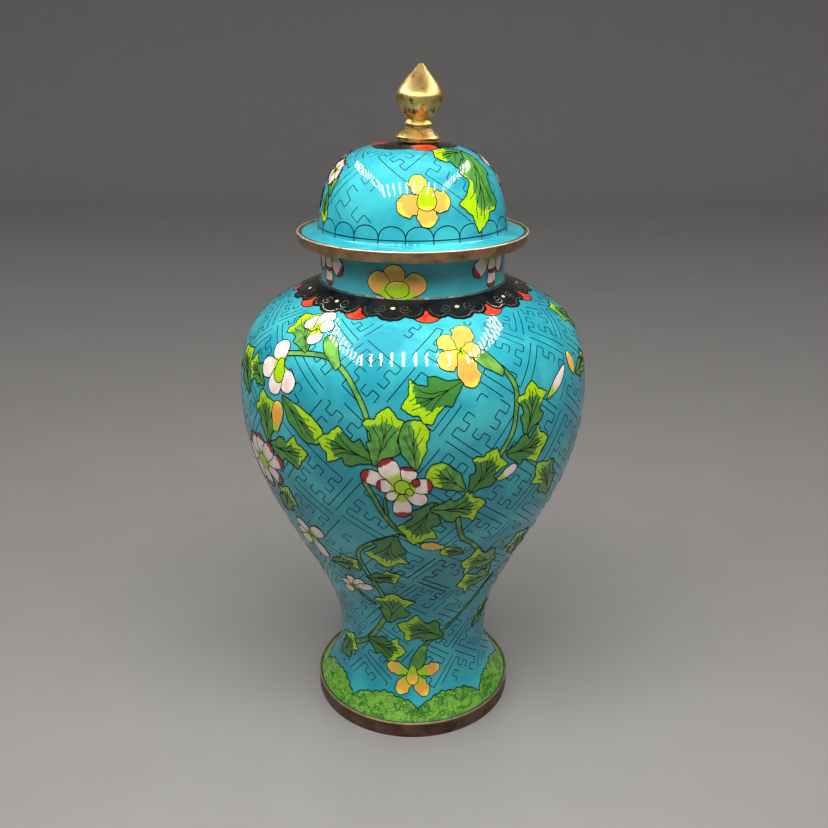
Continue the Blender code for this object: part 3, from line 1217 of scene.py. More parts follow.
@dataclass
class Artwork:
    """The cells on one shell, in the order they were laid, with the wires that edge them."""

    name: str
    outline: Outline
    palette: Palette
    wire: Wire = Wire(width=0.31, lift=0.215)
    vein: Wire = Wire(width=0.17, lift=0.20)
    stem_steps: Steps = Steps(0.035, 0.006, 3)
    leaf_steps: Steps = Steps(0.05, 0.012, 5)
    white_steps: Steps = Steps(0.105, 0.006, 9)
    gold_steps: Steps = Steps(0.165, 0.006, 8)
    calyx_lift: float = 0.06
    seed: int = 11
    stems: list[Cell] = field(default_factory=list)
    leaves: list[Cell] = field(default_factory=list)
    white: list[Cell] = field(default_factory=list)
    gold: list[Cell] = field(default_factory=list)

    def leaf(
        self, base: Spot, tip: Spot, half_width: float, edge: Edge = Edge.BROAD,
        lean: float = 0.0, bow: float = 1.0,
    ) -> None:
        """Add a leaf; lean puts more of the lime on its right (positive) or left side."""
        lift = self.leaf_steps.lift(self.leaves)
        self.leaves.append(Cell((base, tip), half_width, edge, lift, lean, bow, veins=True, sweep=0.22))

    def petal(
        self, base: Spot, tip: Spot, half_width: float, red: bool = True,
        edge: Edge = Edge.PETAL, plain: float = 0.77,
    ) -> None:
        """Add a white petal; if it has a red tip, that starts at the share plain."""
        lift = self.white_steps.lift(self.white)
        self.white.append(Cell((base, tip), half_width, edge, lift, plain if red else NO_TIP, 0.2))

    def gold_petal(
        self, base: Spot, tip: Spot, half_width: float, edge: Edge = Edge.WAVY_PETAL, heart: float = 0.16
    ) -> None:
        """Add a yellow petal with an orange body; heart is the share of it that is lime."""
        lift = self.gold_steps.lift(self.gold)
        self.gold.append(Cell((base, tip), half_width, edge, lift, heart, 0.3))

    def vine(self, width: float, *spots: Spot) -> None:
        """Add a stem through some spots."""
        lift = self.stem_steps.lift(self.stems)
        self.stems.append(Cell(spots, width / 2.0, Edge.VINE, lift, columns=5))

    def calyx(self, base: Spot, tip: Spot, half_width: float) -> None:
        """Add the green cup between a stem and a flower."""
        self.stems.append(Cell((base, tip), half_width, Edge.PETAL, self.calyx_lift))

    def cells(self) -> list[Cell]:
        """Return every cell, lowest first."""
        return self.stems + self.leaves + self.white + self.gold

    def rims(self) -> list[np.ndarray]:
        """Return the edges of every cell."""
        return [cell.rim(self.outline) for cell in self.cells()]

    def build(self) -> None:
        """Build the plates, and the wires where no later cell covers them."""
        tone = np.random.default_rng(self.seed)
        groups = (
            ("stems", self.stems, self.palette.stem), ("leaves", self.leaves, self.palette.leaf),
            ("white_petals", self.white, self.palette.white), ("gold_petals", self.gold, self.palette.gold),
        )
        for label, cells, enamel in groups:
            if cells:
                pile = Pile()
                for cell in cells:
                    cell.plate(pile, self.outline, float(tone.random()))
                pile.build(f"{self.name}_{label}", enamel)
        wires = Pile()
        rims = self.rims()
        for number, cell in enumerate(self.cells()):
            above = rims[number + 1 :]
            loop = np.vstack((rims[number], rims[number][:1]))
            free = outside_all(loop[None, :, 0], loop[None, :, 1], above)
            self.wire.lay_rim(wires, self.outline, rims[number], free)
            if cell.veins:
                angle, length = cell.vein_paths(self.outline)
                free = outside_all(angle, length, above)
                self.vein.lay(wires, self.outline, angle, length, free, looped=False)
        wires.build(f"{self.name}_cell_wires", self.palette.wire)


@dataclass
class Band:
    """A band of enamel right round a shell between two edges that are functions of the angle."""

    outline: Outline
    lift: float
    columns: int = 1080
    rows: int = 9

    def build(self, pile: Pile, upper: np.ndarray, lower: np.ndarray) -> None:
        """Build the band as a closed plate.

        Its points run straight from the upper edge to the lower one at each angle, once above the shell
        and once back under it.

        Args:
            pile: Where the band goes.
            upper: Millimetres of the upper edge at each of the angles, evenly round.
            lower: Millimetres of the lower edge.
        """
        angle = round_angles(self.columns)
        share = np.linspace(0.0, 1.0, self.rows)[:, None]
        length = upper + (lower - upper) * share
        wide = np.broadcast_to(angle, length.shape)
        top = self.outline.place(wide, length, self.lift)
        under = self.outline.place(wide, length, -SUNK)
        shell = np.vstack((top, under[::-1], top[:1]))
        pile.add(shell.reshape(-1, 3), grid_faces(len(shell), self.columns, wrap=True))


@dataclass(frozen=True)
class Lobe:
    """A round lobe of a lappet's edge.

    Its place off the lappet's middle and its half width are degrees, its root and its depth millimetres.
    """

    off: float
    half_width: float
    root: float
    depth: float

    def edge(self, off: np.ndarray, notch: float) -> np.ndarray:
        """Work out the lobe's edge, half an ellipse under its root.

        Args:
            off: Degrees from the lappet's middle.
            notch: Where the edge runs beside the lobe.

        Returns:
            Millimetres along the outline.
        """
        share = (off - self.off) / self.half_width
        curve = self.root + self.depth * np.sqrt(np.clip(1.0 - share**2, 0.0, 1.0))
        return np.where(np.abs(share) < 1.0, curve, notch)


@dataclass
class Vessel:
    """The jar's body: shell, picture, shoulder collar, foot hills and key fret. Sizes in millimetres."""

    palette: Palette
    wall: float = 2.0
    foot_radius: float = SOLIDS["foot_ring"].radius - 1.2
    bottom: float = SOLIDS["jar_body"].bottom
    waist_height: float = 34.6
    waist_radius: float = 33.8
    belly_height: float = 151.1
    belly_radius: float = SOLIDS["jar_body"].radius
    neck_height: float = SOLIDS["jar_body"].top - 15.4
    neck_radius: float = SOLIDS["mouth_rim"].radius - SEAM
    neck_fillet: float = 0.9
    top: float = SOLIDS["jar_body"].top
    segments: int = 240
    lappets: int = 11
    lappet_angle: float = -10.0
    collar_top: float = 15.8
    collar_notch: float = 21.6
    middle_lobe: Lobe = Lobe(0.0, 8.0, 21.8, 5.7)
    side_lobe: Lobe = Lobe(10.2, 5.2, 21.4, 4.6)
    scallop_pitch: float = 3.7
    scallop_depth: float = 0.30
    drop_ends: Spot = (18.0, 28.6)
    drop_half_width: float = 6.0
    drop_hidden: float = 22.4
    dot_ends: Spot = (20.0, 21.4)
    dot_half_width: float = 0.9
    scroll_eye: Spot = (6.2, 20.9)
    scroll_start: float = 0.35
    scroll_growth: float = 2.15
    scroll_turns: float = 1.45
    collar_degree: float = 0.80
    hill_count: int = 8
    hill_angle: float = 3.0
    hill_crest: float = 228.8
    hill_depth: float = 6.4
    fret_zones: tuple[FretZone, ...] = (
        FretZone(29.0, 62.0, 3.0), FretZone(62.0, 128.0, 3.3), FretZone(128.0, 168.0, 2.9),
        FretZone(168.0, 219.5, 2.6),
    )
    neck_lines: tuple[Spot, ...] = ((1.0, 0.5), (15.2, 0.85))

    def outside(self) -> Outline:
        """Draw the outer side, from the neck's top down to the foot's edge.

        Returns:
            The outline.
        """
        neck = (self.neck_radius, self.neck_height + self.neck_fillet)
        root = (self.neck_radius + self.neck_fillet, self.neck_height)
        belly = (self.belly_radius, self.belly_height)
        waist = (self.waist_radius, self.waist_height)
        return Outline(
            curved_run((self.neck_radius, self.top), neck, ((0.0, 0.33), (0.0, 0.67)), 12),
            curved_run(neck, root, ((0.0, 0.55), (0.45, 1.0)), 4),
            curved_run(root, belly, ((0.54, 0.22), (1.0, 0.235)), 44),
            curved_run(belly, waist, ((0.0, 0.41), (1.0, 0.69)), 56),
            curved_run(waist, (self.foot_radius, self.bottom), ((0.0, 0.38), (0.10, 0.58)), 24),
        )

    def build_shell(self, outline: Outline) -> None:
        """Build the hollow vessel: outer side, underside, floor and inner wall, all one closed surface.

        Args:
            outline: The outer side.
        """
        inner = outline.inner(self.wall)
        floor = self.bottom + self.wall
        inner = inner[(inner[:, 1] > floor + 0.3) & (inner[:, 1] < self.top - 0.3)]
        inner = np.vstack(((self.neck_radius - self.wall, self.top - 0.2), inner))
        at_floor = np.interp(floor, inner[::-1, 1], inner[::-1, 0])
        corner = curved_run((at_floor - 3.0, floor), tuple(inner[-1]), ((0.6, 0.0), (1.0, 0.4)), 6)
        base = np.linspace((0.0, floor), (at_floor - 3.0, floor), 8)[:-1]
        under = np.linspace((self.foot_radius, self.bottom), (0.0, self.bottom), 10)[1:]
        rows = np.vstack((base, corner, inner[::-1][1:], outline.points, under))
        shell = turned(rows, self.segments, closed=False)
        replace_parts(shell.build("jar_enamel", self.palette.ground), "jar_body")

    def paint_front(self, art: Artwork) -> None:
        """Lay the flowers, leaves and stems that grow over the front.

        Args:
            art: The vessel's picture.
        """
        for vine in (
            (2.0, (-50, 51), (-40, 48), (-29, 47), (-22, 51), (-17, 58), (-13, 68), (-11, 84)),
            (2.0, (23, 46), (29, 52), (32, 59), (31.5, 68), (30, 76), (26, 84), (20, 96)),
            (1.9, (-15, 91), (-12, 99), (-9, 108), (-4, 117), (4, 124)),
            (1.3, (-6, 97), (-8.5, 101), (-8, 108)),
            (2.0, (14, 108), (17, 121), (22, 127), (28, 135), (35, 144), (40, 157)),
            (1.9, (-4, 118), (-16, 126), (-22, 135), (-20, 150), (-16, 166), (-16, 184)),
            (2.2, (-16, 178), (-28, 192), (-40, 200), (-58, 206)),
            (1.5, (-22, 172), (-28, 168), (-33, 162)),
            (1.5, (1, 209), (8, 198), (22, 190), (38, 176), (46, 158)),
        ):
            art.vine(*vine)
        art.calyx((-23.5, 51), (-32, 38), 2.9)
        art.calyx((29, 53.5), (20, 43), 3.0)
        art.calyx((9, 197), (0, 211.5), 3.2)
        for leaf in (
            ((-37, 47), (-52, 31), 7.4), ((-62, 71), (-74, 55), 7.8, Edge.HOLLY, 0.5),
            ((-52, 64), (-65, 59), 5.4), ((-50, 87), (-53, 65.5), 6.8),
            ((-43, 65), (-27, 78), 5.6, Edge.ROUND_LEAF, -0.9),
            ((-50, 87), (-32.5, 85), 6.6, Edge.HOLLY, -0.3), ((-11, 84), (-29, 78), 7.4, Edge.HOLLY),
            ((-11, 86), (-7.0, 62.5), 8.2), ((1, 87), (0.5, 67), 5.8, Edge.ROUND_LEAF, 1.3, -0.8),
            ((15, 54), (-3.5, 63), 8.2, Edge.BROAD, -0.3, -1.0), ((35, 79), (38.5, 58), 7.2),
            ((28, 84), (45, 82), 7.4, Edge.HOLLY, 0.3), ((17, 99), (25, 80.5), 7.2),
            ((16, 97), (4.0, 87), 5.4, Edge.ROUND_LEAF, -0.2), ((54, 113), (41, 92), 6.6, Edge.HOLLY, -0.3),
            ((7, 101), (0, 124.5), 8.0, Edge.HOLLY), ((5, 105), (23.5, 104), 7.4),
            ((-6, 119), (-11, 141), 8.6, Edge.HOLLY), ((39, 145), (20, 140), 8.4),
            ((20, 133), (10, 130), 3.0, Edge.ROUND_LEAF), ((-22, 151), (-5, 146), 4.6, Edge.HOLLY),
            ((-39, 146), (-23, 139), 5.2), ((-54, 121), (-45, 105), 5.4, Edge.HOLLY),
            ((-16, 184), (-10, 161), 8.2), ((42, 157), (22, 158), 7.4),
            ((54, 149), (45, 131), 6.4, Edge.HOLLY), ((23, 194), (-11, 184), 8.2),
            ((-36, 197), (-5, 201), 7.0, Edge.HOLLY), ((-72, 217), (-52, 200), 5.6),
            ((86, 52), (76, 36), 6.0), ((63, 63), (78, 60), 4.6, Edge.HOLLY), ((50, 196), (64, 184), 5.0),
        ):
            art.leaf(*leaf)
        self.paint_front_flowers(art)

    def paint_front_flowers(self, art: Artwork) -> None:
        """Lay the petals over the leaves: white flowers with red tips, and yellow ones.

        Args:
            art: The vessel's picture.
        """
        for tip, width in (((-46, 32), 4.0), ((-39, 26.5), 3.8), ((-33.5, 32), 3.4), ((-35.5, 43), 3.4)):
            art.petal((-39, 37), tip, width, red=False)
        for tip, width in (((-50, 45), 4.2), ((-55, 58), 4.2), ((-38.5, 62), 4.2), ((-47, 66), 4.0)):
            art.petal((-46, 55), tip, width, red=False)
        for tip, width in (
            ((-71, 98), 4.2), ((-66, 109), 4.0), ((-57, 111), 3.4), ((-47, 104), 3.4),
            ((-64, 88), 4.2), ((-56, 85.5), 3.8), ((-44, 93), 3.2), ((-49, 87.5), 3.4),
        ):
            art.petal((-57, 98), tip, width)
        for petal in (
            ((-3.2, 97), (-3, 108.5), 3.7), ((-2.5, 95), (4.0, 101.5), 3.2, False),
            ((-4, 95.6), (-7.6, 100), 2.2, False), ((-5.6, 93), (-15.5, 89.3), 3.3),
            ((-4.5, 94.3), (-10.8, 93.8), 2.9), ((-2.8, 93), (-1.2, 85.4), 3.8),
            ((-4.6, 92.8), (-8.6, 82.4), 4.1), ((-1.6, 94), (5.8, 93.2), 3.5),
        ):
            art.petal(*petal)
        art.petal((1.2, 93.8), (0.2, 90.6), 1.6, edge=Edge.DISC, plain=0.0)
        for tip, width in (
            ((-48, 123), 3.2), ((-36, 124.5), 3.4), ((-52, 132), 3.0), ((-52, 139), 2.8), ((-41, 145), 3.2),
        ):
            art.petal((-43, 131), tip, width, red=False)
        for tip in ((-39.5, 159), (-32, 153.5), (-25.5, 154.5), (-20.5, 158), (-39.5, 166.5)):
            art.petal((-33, 162), tip, 2.4, red=False)
        art.petal((26, 94.5), (32.5, 89.5), 2.2, red=False)
        art.petal((44, 67), (56.5, 57), 2.2, red=False, edge=Edge.BUD)
        for tip, width in (
            ((9, 36.5), 4.2), ((20, 31), 4.4), ((23, 42), 3.4), ((8.5, 49), 4.2), ((18.5, 57), 4.4),
        ):
            art.gold_petal((16, 43), tip, width)
        art.gold_petal((-46, 80.5), (-44, 67.5), 3.3, Edge.PETAL)
        art.gold_petal((61.5, 63), (60, 53), 2.6, Edge.BUD)
        art.gold_petal((11.5, 127), (2.5, 125), 2.6)
        art.gold_petal((-3.6, 91.0), (-2.2, 96.8), 2.9, Edge.DISC, heart=ALL_LIME)
        art.gold_petal((-1.4, 94.6), (-0.2, 97.6), 1.5, Edge.DISC, heart=ALL_LIME)
        for tip in ((-20, 208.5), (20.5, 209), (-10, 222), (10, 222.6)):
            art.gold_petal((tip[0] * 0.12, 212), tip, 3.3, heart=0.42)
        art.gold_petal((0, 208.5), (0, 217.5), 2.7, Edge.PETAL, heart=0.5)
        art.gold_petal((-57, 95), (-57, 102), 3.6, Edge.DISC, heart=ALL_LIME)
        art.gold_petal((-46, 51.5), (-45, 61), 2.9, Edge.PETAL, heart=ALL_LIME)

    def paint_neck(self, art: Artwork) -> None:
        """Lay flowers round the neck: two yellow ones, and four white ones with red tips.

        Args:
            art: The vessel's picture.
        """
        for turn in (0.0, 180.0):
            heart = -9.5 + turn
            art.gold_petal((heart - 1.0, 13.0), (heart - 2.0, 2.2), 4.2, Edge.PETAL, heart=0.1)
            art.gold_petal((heart - 3.0, 14.4), (heart - 15.5, 6.4), 4.4, Edge.PETAL, heart=0.36)
            art.gold_petal((heart + 3.0, 14.4), (heart + 15.0, 6.4), 4.4, Edge.PETAL, heart=0.36)
            art.gold_petal((heart, 15.0), (heart, 8.4), 4.6, Edge.DISC, heart=0.75)
        for heart in (-60.0, 54.5, 116.0, -125.0):
            art.petal((heart - 3.0, 1.6), (heart - 16.5, 8.4), 3.4)
            art.petal((heart + 3.0, 1.6), (heart + 14.0, 8.4), 3.4)
            art.petal((heart, 5.0), (heart, 14.4), 3.2)
            art.petal((heart, 0.6), (heart, 8.8), 2.9)

    def paint_back(self, art: Artwork) -> None:
        """Lay a plainer spray over the back: the same plants, fewer of them, with petals evenly round.

        Args:
            art: The vessel's picture.
        """
        for vine in (
            (2.1, (205, 50), (192, 49), (180, 56), (175, 70), (172, 92), (178, 118), (186, 140), (184, 170)),
            (2.0, (172, 92), (150, 84), (140, 70), (136, 56)),
            (2.0, (178, 118), (204, 110), (216, 96), (222, 78)),
            (1.9, (186, 140), (160, 146), (142, 158), (130, 176)),
            (1.9, (184, 170), (206, 186), (226, 196)),
            (1.9, (130, 176), (120, 162), (112, 140), (117, 118), (104, 98), (104, 78), (108, 60), (122, 50)),
            (1.6, (112, 140), (98, 150), (86, 162), (94, 184)),
            (1.9, (226, 196), (240, 176), (246, 150), (264, 128), (258, 100), (244, 82),
             (250, 66), (262, 62)),
        ):
            art.vine(*vine)
        for base, tip, width in (
            ((204, 52), (220, 38), 6.0), ((192, 50), (182, 34), 6.0), ((176, 68), (158, 60), 6.0),
            ((174, 86), (192, 74), 6.4), ((172, 100), (154, 108), 6.4), ((150, 84), (146, 66), 5.4),
            ((142, 74), (126, 70), 5.6), ((206, 109), (202, 90), 6.0), ((214, 98), (230, 94), 5.6),
            ((220, 84), (206, 72), 5.0), ((180, 122), (164, 130), 6.0), ((184, 134), (202, 132), 6.4),
            ((162, 146), (152, 132), 5.4), ((144, 156), (128, 150), 5.0), ((186, 154), (204, 158), 6.0),
            ((184, 170), (168, 176), 5.6), ((206, 186), (196, 204), 5.0), ((222, 194), (236, 182), 5.0),
            ((134, 172), (150, 186), 5.2), ((120, 116), (110, 98), 6.0), ((108, 60), (96, 48), 5.6),
            ((250, 66), (262, 54), 5.6), ((244, 150), (256, 136), 5.2), ((100, 96), (92, 80), 5.6),
            ((112, 140), (102, 154), 5.2), ((262, 112), (272, 100), 5.6), ((96, 186), (108, 176), 4.6),
        ):
            art.leaf(base, tip, width, (Edge.BROAD, Edge.HOLLY)[len(art.leaves) % 2])
        petals, mean_radius = 7, 68.0
        for heart, spread in (
            ((200, 122), 8.5), ((134, 100), 9.0), ((246, 100), 9.0), ((160, 166), 6.5), ((96, 122), 7.0),
        ):
            for k in range(petals):
                turn = math.tau * k / petals
                across = math.degrees(spread / mean_radius) * math.cos(turn)
                tip = (heart[0] + across, heart[1] + spread * math.sin(turn))
                art.petal(heart, tip, spread * 0.36, red=k % 2 == 0)
            art.gold_petal((heart[0], heart[1] - 2.4), (heart[0], heart[1] + 2.4), 2.4, Edge.DISC)
        for heart in ((218, 60), (134, 52), (178, 204), (84, 160)):
            for k in range(5):
                turn = math.tau * (k + 0.2) / 5.0
                tip = (heart[0] + 6.6 * math.cos(turn), heart[1] + 7.6 * math.sin(turn))
                art.gold_petal(heart, tip, 3.2)

    def collar_edge(self, angle: np.ndarray) -> np.ndarray:
        """Work out the lower edge of the black collar.

        Each lappet is three round lobes, half an ellipse each, with small scallops on them, and between
        lappets the edge goes up to a notch.

        Args:
            angle: Degrees from the front.

        Returns:
            Millimetres along the outline.
        """
        pitch = 360.0 / self.lappets
        off = (angle - self.lappet_angle + pitch / 2.0) % pitch - pitch / 2.0
        middle = self.middle_lobe.edge(off, self.collar_notch)
        sides = self.side_lobe.edge(np.abs(off), self.collar_notch)
        scallops = self.scallop_depth * np.abs(np.cos(math.pi * off / self.scallop_pitch))
        return np.maximum(middle, sides) + scallops

    def build_collar(self, outline: Outline) -> None:
        """Build the shoulder collar: red drops under a black ruyi band with silvered scrolls and dots.

        Args:
            outline: The vessel's outer side.
        """
        band = Band(outline, lift=0.10)
        edge = self.collar_edge(round_angles(band.columns))
        pile = Pile()
        band.build(pile, np.full(band.columns, self.collar_top), edge)
        pile.build("collar_black", self.palette.black)
        pitch = 360.0 / self.lappets
        centres = self.lappet_angle + pitch * np.arange(self.lappets)
        drops, dots, silver, copper = Pile(), Pile(), Pile(), Pile()
        edging = Wire(width=0.42, lift=0.13)
        for centre in centres:
            spine = upright(centre + pitch / 2.0, self.drop_ends)
            drop = Cell(spine, self.drop_half_width, Edge.DISC, 0.05)
            drop.plate(drops, outline, 0.5)
            rim = drop.rim(outline)
            edging.lay_rim(copper, outline, rim, rim[:, 1] > self.drop_hidden)
            dot = Cell(upright(centre, self.dot_ends), self.dot_half_width, Edge.DISC, 0.13)
            dot.plate(dots, outline, 0.5)
        edging.lay_ring(copper, outline, edge)
        self.lay_scrolls(silver, outline, centres)
        drops.build("collar_red_drops", self.palette.red)
        dots.build("collar_dots", self.palette.cream)
        silver.build("collar_scrolls", self.palette.bright_wire)
        copper.build("collar_edging", self.palette.wire)

    def lay_scrolls(self, pile: Pile, outline: Outline, centres: np.ndarray) -> None:
        """Lay each lappet's wires: two spirals that meet over the dot, and a line inside its edge.

        A spiral's radius grows evenly with its turn. The inner line lies a millimetre above the highest
        point of the collar's edge within a degree on either side, which keeps it clear of the notches.

        Args:
            pile: Where the wires go.
            outline: The vessel's outer side.
            centres: The lappets' middles, in degrees.
        """
        wire = Wire(width=0.48, lift=0.13)
        middle = centres[:, None]
        across, down = self.scroll_eye
        u = np.linspace(0.0, 1.0, 34)
        turn = self.scroll_turns * math.tau * u
        radius = self.scroll_start + self.scroll_growth * u
        for way in (-1.0, 1.0):
            angle = middle + way * (across - radius * np.cos(turn) / self.collar_degree)
            length = np.broadcast_to(down + radius * np.sin(turn), angle.shape)
            wire.lay(pile, outline, angle, length, np.ones(angle.shape, bool)[:, 1:], looped=False)
        edge = self.collar_edge(middle + np.linspace(-16.0, 16.0, 97))
        inner = np.lib.stride_tricks.sliding_window_view(edge, 7, axis=1).min(axis=-1) - 1.0
        angle = middle + np.linspace(-15.0, 15.0, inner.shape[1])
        wire.lay(pile, outline, angle, inner, np.ones(angle.shape, bool)[:, 1:], looped=False)

    def hill_edge(self, angle: np.ndarray) -> np.ndarray:
        """Work out the upper edge of the foot's hills.

        From notch to notch it rises over a crest, a sine to a power under one, with two finer ripples.

        Args:
            angle: Degrees from the front.

        Returns:
            Millimetres along the outline.
        """
        part = np.abs(np.sin(math.radians(1.0) * (angle - self.hill_angle) * self.hill_count / 2.0))
        ripple = 0.9 * np.abs(np.sin(np.radians(angle * 31.0))) + 0.5 * np.cos(np.radians(angle * 19.0))
        return self.hill_crest - self.hill_depth * part**0.62 - ripple * part**0.3

    def build_foot(self, outline: Outline) -> None:
        """Build the foot's hills and the wire on their crests.

        Args:
            outline: The vessel's outer side.
        """
        band = Band(outline, lift=0.06, rows=7)
        top = self.hill_edge(round_angles(band.columns))
        hills, wires = Pile(), Pile()
        band.build(hills, top, np.full(band.columns, float(outline.length[-1]) - 0.1))
        Wire(width=0.42, lift=0.10).lay_ring(wires, outline, top)
        hills.build("foot_hills", self.palette.hills)
        wires.build("foot_wires", self.palette.wire)

    def build_fret(self, outline: Outline, art: Artwork) -> None:
        """Fill the ground between the cells with key fret, and lay the two lines round the neck.

        Args:
            outline: The vessel's outer side.
            art: The vessel's picture.
        """
        fret = KeyFret()
        rims = art.rims()
        pile = Pile()
        for zone in self.fret_zones:
            fret.lay(pile, outline, zone, rims)
        pile.build("body_fret", self.palette.wire)
        line = Pile()
        for length, width in self.neck_lines:
            Wire(width=width, lift=0.10).lay_ring(line, outline, np.full(LINE_STEPS, length))
        line.build("neck_lines", self.palette.bright_wire)

    def build(self) -> None:
        """Build the whole body."""
        outline = self.outside()
        self.build_shell(outline)
        art = Artwork("body", outline, self.palette)
        self.paint_front(art)
        self.paint_back(art)
        self.paint_neck(art)
        art.build()
        self.build_collar(outline)
        self.build_foot(outline)
        self.build_fret(outline, art)


@dataclass
class Lid:
    """The lid: domed shell with its flange, picture, collar, arches and fret. Sizes in millimetres."""

    palette: Palette
    wall: float = 2.0
    crown: float = 251.6
    dome_bottom: float = SOLIDS["lid"].bottom + 2.8
    dome_fillet: float = 1.0
    dome_radius: float = 38.1
    flange_top: float = SOLIDS["lid"].bottom + 1.9
    flange_bottom: float = SOLIDS["lid"].bottom
    flange_radius: float = SOLIDS["lid_rim"].radius - 1.5
    collar_bore: float = SOLIDS["lid_collar"].radius - COLLAR_WALL
    hole: float = 4.2
    segments: int = 200
    arches: int = 23
    arch_angle: float = -4.0
    arch_root: float = 57.0
    arch_height: float = 5.0
    arch_end: float = 58.7
    arch_line: float = 57.1
    edge_line: float = 0.5
    drops: int = 3
    drop_angle: float = 19.0
    drop_ends: Spot = (9.5, 18.4)
    drop_half_width: float = 4.7
    drop_hidden: float = 9.6
    black_start: float = 6.0
    black_reach: float = 12.6
    lobe_depth: float = 4.6
    scallop_depth: float = 0.4
    line_gap: float = 1.4
    fret_zone: FretZone = FretZone(20.0, 51.6, 3.1)

    def outside(self) -> Outline:
        """Draw the outer side, from the crown to the flange's edge.

        Returns:
            The outline.
        """
        fillet = self.dome_bottom + self.dome_fillet
        foot = (self.dome_radius + self.dome_fillet, self.dome_bottom)
        return Outline(
            curved_run((0.0, self.crown), (self.dome_radius, fillet), ((0.63, 0.0), (0.934, 0.12)), 72),
            curved_run((self.dome_radius, fillet), foot, ((0.0, 0.55), (0.45, 1.0)), 5),
            curved_run(foot, (self.flange_radius, self.flange_top), ((0.33, 0.33), (0.67, 0.67)), 6),
        )

    def build_shell(self, outline: Outline) -> None:
        """Build the hollow lid: dome, flange, opening and inner side, all one closed surface.

        Args:
            outline: The outer side.
        """
        outer = outline.points[outline.points[:, 0] > self.hole]
        inner = outline.inner(self.wall)
        inner = inner[(inner[:, 0] > self.hole) & (inner[:, 1] > self.flange_top + 0.5)]
        inner = inner[: int(np.argmax(inner[:, 0] > self.dome_radius - self.wall - 0.05)) or None]
        rows = (
            (self.hole, self.crown - 0.05), outer, (self.flange_radius - 0.15, self.flange_bottom + 0.1),
            (self.flange_radius - 0.4, self.flange_bottom), (self.collar_bore, self.flange_bottom),
            (self.collar_bore, self.flange_top), (self.dome_radius - self.wall, self.flange_top + 0.4),
            inner[::-1], (self.hole, self.crown - self.wall),
        )
        shell = turned(np.vstack(rows), self.segments, closed=True)
        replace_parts(shell.build("lid_enamel", self.palette.ground), "lid")

    def paint(self, art: Artwork) -> None:
        """Lay the lid's leaves and flowers, front and back.

        Args:
            art: The lid's picture.
        """
        for turn in (0.0, 180.0):
            art.leaf((64 + turn, 22), (20 + turn, 24), 8.2, lean=0.5)
            art.leaf((60 + turn, 21), (41 + turn, 56), 9.4, lean=0.3)
            art.leaf((-66 + turn, 42), (-65 + turn, 54), 3.4, Edge.ROUND_LEAF)
            for tip, width in (((0, 33.0), 3.6), ((-9, 46.5), 4.5), ((10, 52.5), 4.0), ((23, 43.5), 4.2)):
                art.gold_petal((7 + turn, 42), (tip[0] + turn, tip[1]), width)
            art.gold_petal((10 + turn, 37.5), (8 + turn, 46.5), 3.7, Edge.PETAL, heart=0.8)
            for tip, width in (
                ((-60, 34.5), 2.8), ((-66, 29), 2.8), ((-78, 28), 2.8), ((-80, 38), 2.8), ((-67, 40), 2.4),
            ):
                art.petal((-72 + turn, 34), (tip[0] + turn, tip[1]), width)
            for tip in ((76, 28), (84, 42), (96, 34), (92, 24)):
                art.petal((85 + turn, 34), (tip[0] + turn, tip[1]), 2.8)
            art.leaf((118 + turn, 44), (104 + turn, 30), 5.0)
            art.leaf((-80 + turn, 50), (-88 + turn, 42), 3.6, Edge.HOLLY)

    def build_collar(self, outline: Outline) -> None:
        """Build the black collar round the finial's foot, with a red drop at each notch of its edge.

        From notch to notch the edge is a round lobe, a sine to a power under one, with small scallops.

        Args:
            outline: The lid's outer side.
        """
        band = Band(outline, lift=0.10, columns=540, rows=7)
        pitch = 360.0 / self.drops
        off = (round_angles(band.columns) - self.drop_angle) % pitch / pitch
        scallops = self.scallop_depth * np.abs(np.cos(math.pi * off * 5.0))
        lobes = self.black_reach + self.lobe_depth * np.abs(np.sin(math.pi * off)) ** 0.7 + scallops
        black, red, wires = Pile(), Pile(), Pile()
        band.build(black, np.full(band.columns, self.black_start), lobes)
        wire = Wire(width=0.48, lift=0.13)
        wire.lay_ring(wires, outline, lobes)
        wire.lay_ring(wires, outline, lobes - self.line_gap)
        for k in range(self.drops):
            spine = upright(self.drop_angle + pitch * k, self.drop_ends)
            drop = Cell(spine, self.drop_half_width, Edge.DISC, 0.17)
            drop.plate(red, outline, 0.5)
            rim = drop.rim(outline)
            wire.lay_rim(wires, outline, rim, rim[:, 1] > self.drop_hidden)
        black.build("lid_collar_black", self.palette.black)
        red.build("lid_collar_drops", self.palette.red)
        wires.build("lid_collar_wires", self.palette.bright_wire)

    def build_arches(self, outline: Outline, art: Artwork) -> None:
        """Lay the wires at the dome's foot: arches over a ring, and a line at the flange's edge.

        An arch is a sine to a power under one, and its two ends run straight on.

        Args:
            outline: The lid's outer side.
            art: The lid's picture.
        """
        wires = Pile()
        wire = Wire(width=0.36, lift=0.05)
        pitch = 360.0 / self.arches
        centres = self.arch_angle + pitch * (np.arange(self.arches) + 0.5)
        u = np.linspace(0.0, math.pi, 19)
        angle = np.pad(centres[:, None] - pitch / 2.0 * np.cos(u), ((0, 0), (1, 1)), mode="edge")
        arch = np.tile(self.arch_root - self.arch_height * np.sin(u) ** 0.8, (self.arches, 1))
        length = np.pad(arch, ((0, 0), (1, 1)), constant_values=self.arch_end)
        wire.lay(wires, outline, angle, length, outside_all(angle, length, art.rims()), looped=False)
        wire.lay_ring(wires, outline, np.full(LINE_STEPS, self.arch_line))
        wires.build("lid_arches", self.palette.wire)
        pile = Pile()
        end = float(outline.length[-1]) - self.edge_line
        Wire(width=0.7, lift=0.12).lay_ring(pile, outline, np.full(LINE_STEPS, end))
        pile.build("flange_edge_line", self.palette.bright_wire)

